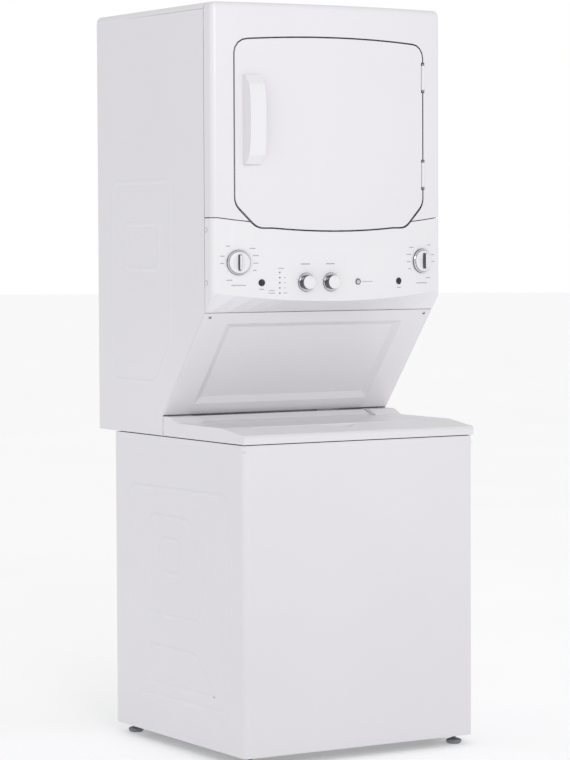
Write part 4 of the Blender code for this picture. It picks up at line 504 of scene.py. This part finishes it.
coat(ENAMEL, "slanted_panel")
form = bmesh.new()
cross = bmesh.new()
for side in (-1, 1):
    spot = seat("slanted_panel", (side * PANEL_SCREW_X, -1, PANEL_SCREW_Z), (0, 1, 0))
    r, h = PANEL_SCREW_RADIUS, PANEL_SCREW_RISE
    head = [(0, 0), (r, 0), (0.97 * r, 0.4 * h), (0.75 * r, 0.85 * h), (0.35 * r, h), (0, h)]
    gather(form, turned(head, 24, spot))
    # The cross recess in each head is drawn as two thin dark bars of painted shade.
    for length, width in ((CROSS_LENGTH, CROSS_WIDTH), (CROSS_WIDTH, CROSS_LENGTH)):
        bar = bmesh.new()
        bmesh.ops.create_cube(bar, size=1.0)
        bmesh.ops.scale(bar, vec=(length, 0.0004, width), verts=bar.verts)
        bmesh.ops.translate(bar, vec=(0, -h, 0), verts=bar.verts)
        bmesh.ops.transform(bar, matrix=spot, verts=bar.verts)
        gather(cross, bar)
fitted("slanted_panel_screws", form, PLATED_STEEL, "frame")
fitted("slanted_panel_screw_crosses", cross, HOLE_DARK, "frame")

# ---- dryer front ---------------------------------------------------------------------------------
# A bowed enamelled steel front with a round-cornered top edge, folded back round both sides and cut
# out for the door.
coat(ENAMEL, "dryer_front_panel")

# ---- console -------------------------------------------------------------------------------------
# One satin white ABS moulding with a crease below its top edge. Its markings are screen-printed
# grey, its plugs are pushed in, and a plain bright disc stands where a badge would.
PLUG_RADIUS = 0.0062
PLUG_PLACES = ((-0.2095, 1.329), (-0.2095, 1.197))  # y, z on the side returns
INK_THICKNESS = 0.00015
INK_HEIGHT = 0.0022
TICK_SIZE = 0.0014
DIAL_TICK_RADIUS = 0.0355
DIAL_TICK_STEP = math.radians(26)
KNOB_TICK_RADIUS = 0.0285
KNOB_TICK_STEP = math.radians(38)
MARK_EDGE_ROOM = 0.016  # least distance of a dash from the console's side
BADGE_X = 0.0637
BADGE_RADIUS = 0.0078
BADGE_RISE = 0.0016
LAMP_X = -0.1645
LAMP_TOP = 1.2216
LAMP_PITCH = 0.01287
LAMP_COUNT = 5
LAMP_RADIUS = 0.0021
# dashes round a big dial: across, up, length
DIAL_MARKS = ((-0.027, 0.041, 0.012), (0.036, 0.035, 0.016), (-0.041, 0.016, 0.012),
              (0.045, 0.017, 0.016), (-0.042, -0.002, 0.011), (0.045, -0.002, 0.014),
              (0.042, -0.020, 0.010), (-0.024, -0.044, 0.016), (0.000, -0.057, 0.038))
# dashes beside the lamps: across, lamps down from the top one, length, height
LAMP_MARKS = ((0.014, 1, 0.006, 0.0014), (0.014, 2, 0.006, 0.0014), (0.014, 3, 0.006, 0.0014),
              (0.015, 4, 0.012, 0.0018), (-0.022, 3.5, 0.016, 0.0018), (-0.022, 4, 0.018, 0.0018))

coat(WHITE_ABS, "console")
# Screen-printed ink, a flat mid grey that stands a hair proud of the moulding.
GREY_INK = skin("screen_printed_grey_ink", "#b2b2b7", "#a6a6ab", 0.55, drift=0.02, grain=0.0006, depth=0.00001)
# Dark plate on ABS, a dark mirror finish for the disc and the button bezels. The same dark is painted shade on
# the rings at the knob roots, in the dial grooves, on the dial blades' sides and on the knob walls, for the
# shadow and dark reflections there.
DARK_PLATE_AND_SHADE = drawn("dark_plate_and_painted_shade", "#6d6d72", "#56565b", 0.16, (1, 1, 1), 0.003)
# Chrome plate on ABS: bright and sharp, it mirrors the white round it and the dark edges beside it.
BRIGHT_CHROME = drawn("chrome_plate", "#e4e4e8", "#d6d6db", 0.08, (1, 1, 1), 0.003)
# Clear grey lens over an unlit indicator lamp. The same grey rings each side plug as painted shade in the gap
# round it.
LENS_GREY_AND_GAP_SHADE = skin("grey_lamp_lens_and_gap_shade", "#7c7c82", "#6b6b71", 0.18, drift=0.004, grain=0.001, depth=0.00001)


def mark(x, z, length, height=INK_HEIGHT):
    """A printed dash on the console, its ends rounded."""
    spot = seat("console", (x, -1, z), (0, 1, 0))
    bar = bmesh.new()
    bmesh.ops.create_cube(bar, size=1.0)
    bmesh.ops.scale(bar, vec=(length, INK_THICKNESS, height), verts=bar.verts)
    ends = [e for e in bar.edges if abs(e.verts[0].co.y - e.verts[1].co.y) > INK_THICKNESS / 2]
    bmesh.ops.bevel(bar, geom=ends, offset=0.4 * height, segments=3, profile=0.5, affect="EDGES", material=-1)
    bmesh.ops.transform(bar, matrix=spot, verts=bar.verts)
    return bar


def tick(x, z, radius, angle):
    """A small printed dot beside a turning control, at an angle from straight up."""
    return mark(x + radius * math.sin(angle), z + radius * math.cos(angle), TICK_SIZE, TICK_SIZE)


joints = {joint["name"]: joint for joint in frame["joints"]}
print_form = bmesh.new()
for name, side in (("dryer_cycle_dial_turn", 1), ("washer_cycle_dial_turn", -1)):
    x, _, z = joints[name]["pos_m"]
    for across, up, length in DIAL_MARKS:
        reach = x + side * across
        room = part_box("console")[1][0] - MARK_EDGE_ROOM - length / 2
        gather(print_form, mark(max(-room, min(room, reach)), z + up, length))
    for k in range(-5, 6):
        gather(print_form, tick(x, z, DIAL_TICK_RADIUS, DIAL_TICK_STEP * k))
for name in ("wash_temperature_knob_turn", "load_size_knob_turn"):
    x, _, z = joints[name]["pos_m"]
    gather(print_form, mark(x - 0.002, z + 0.046, 0.026, 0.0028))
    for k in range(-2, 3):
        gather(print_form, tick(x, z, KNOB_TICK_RADIUS, KNOB_TICK_STEP * k))
row_z = joints["wash_temperature_knob_turn"]["pos_m"][2]
for body in ("dryer_start_button", "washer_start_button"):
    low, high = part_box(body)
    gather(print_form, mark((low[0] + high[0]) / 2, row_z - 0.0165, 0.014))
gather(print_form, mark(BADGE_X + 0.030, row_z, 0.034, 0.0016))
gather(print_form, mark(LAMP_X + 0.004, LAMP_TOP + 0.0105, 0.016))
for across, down, length, height in LAMP_MARKS:
    gather(print_form, mark(LAMP_X + across, LAMP_TOP - LAMP_PITCH * down, length, height))
fitted("console_printing", print_form, GREY_INK, "frame")

form = bmesh.new()
for k in range(LAMP_COUNT):
    r = LAMP_RADIUS
    spot = seat("console", (LAMP_X, -1, LAMP_TOP - LAMP_PITCH * k), (0, 1, 0))
    gather(form, turned([(0, 0), (r, 0), (0.9 * r, 0.25 * r), (0.6 * r, 0.5 * r), (0, 0.6 * r)], 16, spot))
fitted("console_lamps", form, LENS_GREY_AND_GAP_SHADE, "frame")

r, h = BADGE_RADIUS, BADGE_RISE
spot = seat("console", (BADGE_X, -1, row_z), (0, 1, 0))
disc = [(0, 0), (r, 0), (r, 0.7 * h), (0.94 * r, h), (0.84 * r, h), (0.80 * r, 0.6 * h), (0, 0.75 * h)]
fitted("console_disc", turned(disc, 40, spot), DARK_PLATE_AND_SHADE, "frame")
centre = [(0, 0.3 * h), (0.74 * r, 0.3 * h), (0.70 * r, 0.95 * h), (0.4 * r, 1.05 * h), (0, 1.1 * h)]
fitted("console_disc_centre", turned(centre, 40, spot), BRIGHT_CHROME, "frame")

# Each side plug is a white dome in a thin grey ring, which is painted shade for the gap round the plug.
form = bmesh.new()
gap_shade = bmesh.new()
for side in (-1, 1):
    for y, z in PLUG_PLACES:
        r = PLUG_RADIUS
        spot = seat("console", (side, y, z), (-side, 0, 0))
        dome = [(0, 0), (0.86 * r, 0), (0.82 * r, 0.0006), (0.5 * r, 0.0011), (0, 0.0012)]
        gather(form, turned(dome, 28, spot))
        gather(gap_shade, turned([(0, 0.0001), (r, 0.0001), (r, 0.0003), (0.84 * r, 0.0003), (0.84 * r, 0.0002),
                             (0, 0.0002)], 28, spot))
fitted("console_plugs", form, WHITE_ABS, "frame")
fitted("console_plug_gap_shade", gap_shade, LENS_GREY_AND_GAP_SHADE, "frame")

# ---- knobs and buttons ---------------------------------------------------------------------------
# Each knob is a white ABS cap in a chrome-plated skirt over a thin dark ring of painted shadow, pushed on a
# stem. The big dials have an upright grip blade whose sides are painted dark for shade, the small ones a domed
# cap over a wall painted dark for its dark reflections, and the buttons are black domes in a bezel.
DIAL_RADIUS = 0.031
DIAL_SKIRT = 0.0055
DIAL_FACE_RADIUS = 0.0268
DIAL_FACE = 0.0105
BLADE_WIDTH = 0.0104
BLADE_TIP = 0.0050
BLADE_REACH = 0.0205
BLADE_RISE = 0.0185
KNOB_RADIUS = 0.0232
KNOB_SKIRT = 0.0040
KNOB_WALL_RADIUS = 0.0178
KNOB_CAP_RADIUS = 0.0165
KNOB_RISE = 0.0205
BUTTON_RADIUS = 0.0066
BUTTON_RISE = 0.0030
BEZEL_WIDTH = 0.0016
BEZEL_RISE = 0.0008
FACE_CLEARANCE = 0.0007
BESIDE_BORE = 0.0105  # from a button's middle to the whole face, whose slope it takes


def hub(name):
    """The place of a turning control on the console: -Y along its shaft, out of the face."""
    joint = joints[name]
    out = Vector(joint["axis"]).normalized()
    return Matrix.Translation(joint["pos_m"]) @ (-out).to_track_quat("Y", "Z").to_matrix().to_4x4()


for body in ("dryer_cycle_dial", "washer_cycle_dial"):
    spot = hub(body + "_turn")
    r, c = DIAL_RADIUS, FACE_CLEARANCE
    ring = turned([(0, c), (0.985 * r, c), (r, c + 0.0008), (r, DIAL_SKIRT - 0.0012), (r - 0.0012, DIAL_SKIRT),
                   (DIAL_FACE_RADIUS + 0.0006, DIAL_SKIRT), (DIAL_FACE_RADIUS, DIAL_SKIRT - 0.0006),
                   (0, DIAL_SKIRT - 0.0006)], 72, spot)
    fitted(body + "_skirt", ring, BRIGHT_CHROME, body)
    # A thin dark disc round the root of the skirt: painted shadow where the dial meets the console.
    root = turned([(0, c + 0.0001), (1.025 * r, c + 0.0001), (1.025 * r, c + 0.0007), (0, c + 0.0007)],
                  72, spot)
    fitted(body + "_shadow_ring", root, DARK_PLATE_AND_SHADE, body)
    # A dark ring of painted shade in the groove between the skirt and the face.
    groove = turned([(0, DIAL_SKIRT - 0.0006), (DIAL_FACE_RADIUS + 0.0007, DIAL_SKIRT - 0.0006),
                     (DIAL_FACE_RADIUS + 0.0007, DIAL_SKIRT + 0.0002), (0, DIAL_SKIRT + 0.0002)], 72, spot)
    fitted(body + "_groove", groove, DARK_PLATE_AND_SHADE, body)
    f = DIAL_FACE_RADIUS
    face = turned([(0, DIAL_SKIRT - 0.0005), (f, DIAL_SKIRT - 0.0005), (f, DIAL_FACE - 0.0022),
                   (f - 0.0006, DIAL_FACE - 0.0008), (f - 0.0022, DIAL_FACE), (0.6 * f, DIAL_FACE - 0.0004),
                   (0, DIAL_FACE - 0.0012)], 64, spot)
    fitted(body + "_face", face, WHITE_ABS, body, stands_for=(body,))
    # The blade body is coloured dark as painted shade on its sides; a white cap covers its front edge.
    blade = bmesh.new()
    bmesh.ops.create_cube(blade, size=1.0)
    bmesh.ops.scale(blade, vec=(BLADE_WIDTH, BLADE_RISE - DIAL_FACE + 0.003, 2 * BLADE_REACH),
                    verts=blade.verts)
    bmesh.ops.translate(blade, vec=(0, -(BLADE_RISE + DIAL_FACE - 0.003) / 2, 0), verts=blade.verts)
    for vert in blade.verts:
        if vert.co.y < -(BLADE_RISE + DIAL_FACE) / 2:
            vert.co.x *= BLADE_TIP / BLADE_WIDTH
            vert.co.z *= 0.93
    bmesh.ops.bevel(blade, geom=blade.edges[:], offset=0.0012, segments=3, profile=0.5, affect="EDGES",
                    material=-1)
    bmesh.ops.transform(blade, matrix=spot, verts=blade.verts)
    fitted(body + "_blade", blade, DARK_PLATE_AND_SHADE, body)
    top = bmesh.new()
    bmesh.ops.create_cube(top, size=1.0)
    bmesh.ops.scale(top, vec=(BLADE_TIP * 0.8, 0.0008, 1.74 * BLADE_REACH), verts=top.verts)
    bmesh.ops.translate(top, vec=(0, -BLADE_RISE, 0), verts=top.verts)
    bmesh.ops.bevel(top, geom=top.edges[:], offset=0.0003, segments=2, profile=0.5, affect="EDGES", material=-1)
    bmesh.ops.transform(top, matrix=spot, verts=top.verts)
    fitted(body + "_blade_cap", top, WHITE_ABS, body)

for body in ("wash_temperature_knob", "load_size_knob"):
    spot = hub(body + "_turn")
    r, w, c = KNOB_RADIUS, KNOB_WALL_RADIUS, FACE_CLEARANCE
    skirt = turned([(0, c), (0.97 * r, c), (r, c + 0.0006), (r, KNOB_SKIRT - 0.0010), (r - 0.0010, KNOB_SKIRT),
                    (0, KNOB_SKIRT)], 64, spot)
    fitted(body + "_skirt", skirt, BRIGHT_CHROME, body)
    # A thin dark disc round the root of the skirt: painted shadow where the knob meets the console.
    root = turned([(0, c + 0.0001), (1.03 * r, c + 0.0001), (1.03 * r, c + 0.0007), (0, c + 0.0007)],
                  64, spot)
    fitted(body + "_shadow_ring", root, DARK_PLATE_AND_SHADE, body)
    # The side wall is coloured dark as a painted dark reflection, under the white cap.
    wall = turned([(0, KNOB_SKIRT - 0.0003), (w + 0.0008, KNOB_SKIRT - 0.0003), (w + 0.0006, KNOB_SKIRT + 0.0004),
                   (w, KNOB_SKIRT + 0.0010), (0.97 * w, KNOB_RISE - 0.0042), (0, KNOB_RISE - 0.0042)], 64, spot)
    fitted(body + "_wall", wall, DARK_PLATE_AND_SHADE, body)
    k = KNOB_CAP_RADIUS
    cap = turned([(0, KNOB_RISE - 0.0041), (k, KNOB_RISE - 0.0041), (1.02 * k, KNOB_RISE - 0.0026),
                  (0.97 * k, KNOB_RISE - 0.0012), (0.82 * k, KNOB_RISE - 0.0004), (0.5 * k, KNOB_RISE),
                  (0, KNOB_RISE + 0.0001)], 64, spot)
    fitted(body + "_cap", cap, WHITE_ABS, body, stands_for=(body,))
    pointer = bmesh.new()
    bmesh.ops.create_cube(pointer, size=1.0)
    bmesh.ops.scale(pointer, vec=(0.0011, 0.0003, 0.0068), verts=pointer.verts)
    bmesh.ops.translate(pointer, vec=(0, -KNOB_RISE + 0.0003, 0.0098), verts=pointer.verts)
    bmesh.ops.bevel(pointer, geom=pointer.edges[:], offset=0.0001, segments=1, profile=0.5, affect="EDGES",
                    material=-1)
    bmesh.ops.transform(pointer, matrix=spot, verts=pointer.verts)
    fitted(body + "_pointer", pointer, GREY_INK, body)

bezels = bmesh.new()
for body in ("dryer_start_button", "washer_start_button"):
    low, high = (Vector(corner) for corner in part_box(body))
    spot = seat("console", ((low.x + high.x) / 2 + BESIDE_BORE, -1, row_z), (0, 1, 0))
    spot.translation = seat(body, ((low.x + high.x) / 2, -1, row_z), (0, 1, 0)).translation
    r, h = BUTTON_RADIUS, BUTTON_RISE
    key_top = turned([(0, -0.012), (r + 0.0018, -0.012), (r + 0.0018, -0.0092), (r, -0.0092), (r, -0.0010),
                      (0.93 * r, -0.0003), (0.7 * r, 0.0), (0.3 * r, -0.0004), (0, -0.0005)], 40, spot)
    fitted(body + "_key", key_top, BLACK_NYLON, body, stands_for=(body,))
    face_spot = spot.copy()
    face_spot.translation = spot @ Vector((0, h, 0))
    w = r + 0.0007
    gather(bezels, turned([(w, -0.0010), (w, 0.0005), (w + 0.3 * BEZEL_WIDTH, BEZEL_RISE),
                           (w + BEZEL_WIDTH, 0.3 * BEZEL_RISE), (w + BEZEL_WIDTH, -0.0010), (w, -0.0010)],
                          40, face_spot))
fitted("console_button_bezels", bezels, DARK_PLATE_AND_SHADE, "frame")

# ---- dryer door ----------------------------------------------------------------------------------
# A bowed enamelled pan hooked over a flat inner panel with a plug that fills the throat, sealed by a
# felt ring. It turns on two knuckle hinges, and opens by a white moulded handle.
SEAL_INNER = 0.2055
SEAL_OUTER = 0.2140
SEAL_RISE = 0.0030
CATCH_RADIUS = 0.0060
CATCH_REACH = 0.0030
CATCH_SIDE = 0.030

# Pressed felt: dark grey, dull and fibrous.
FELT = skin("pressed_grey_felt", "#5a5b5e", "#47484b", 0.90, drift=0.01, grain=0.0007, depth=0.0002)

coat(ENAMEL, "door_outer", "door_inner", "door_hinge_upper", "door_hinge_lower")
coat(WHITE_ABS, "door_handle")
coat(ROLLED_STEEL, "door_hinge_pin_upper", "door_hinge_pin_lower")
low, high = (Vector(corner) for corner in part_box("door_inner"))
panel_back = seat("door_inner", (low.x + 0.5 * CATCH_SIDE, 1, drum_mid.z), (0, -1, 0)).translation.y
back_facing = Matrix.Rotation(math.pi, 4, "Z")
centre = Matrix.Translation((0, panel_back, drum_mid.z)) @ back_facing
seal = turned([(SEAL_INNER, 0.0001), (SEAL_OUTER, 0.0001), (SEAL_OUTER, 0.7 * SEAL_RISE),
               (SEAL_OUTER - 0.0015, SEAL_RISE), (SEAL_INNER + 0.0015, SEAL_RISE), (SEAL_INNER, 0.7 * SEAL_RISE),
               (SEAL_INNER, 0.0001)], 96, centre)
fitted("door_seal", seal, FELT, "dryer_door")
catch = turned([(0, 0), (CATCH_RADIUS, 0), (CATCH_RADIUS, 0.0008), (0.6 * CATCH_RADIUS, 0.0012),
                (0.5 * CATCH_RADIUS, CATCH_REACH), (0, CATCH_REACH)], 24,
               Matrix.Translation((low.x + CATCH_SIDE, panel_back, drum_mid.z)) @ back_facing)
fitted("door_catch_strike", catch, PLATED_STEEL, "dryer_door")
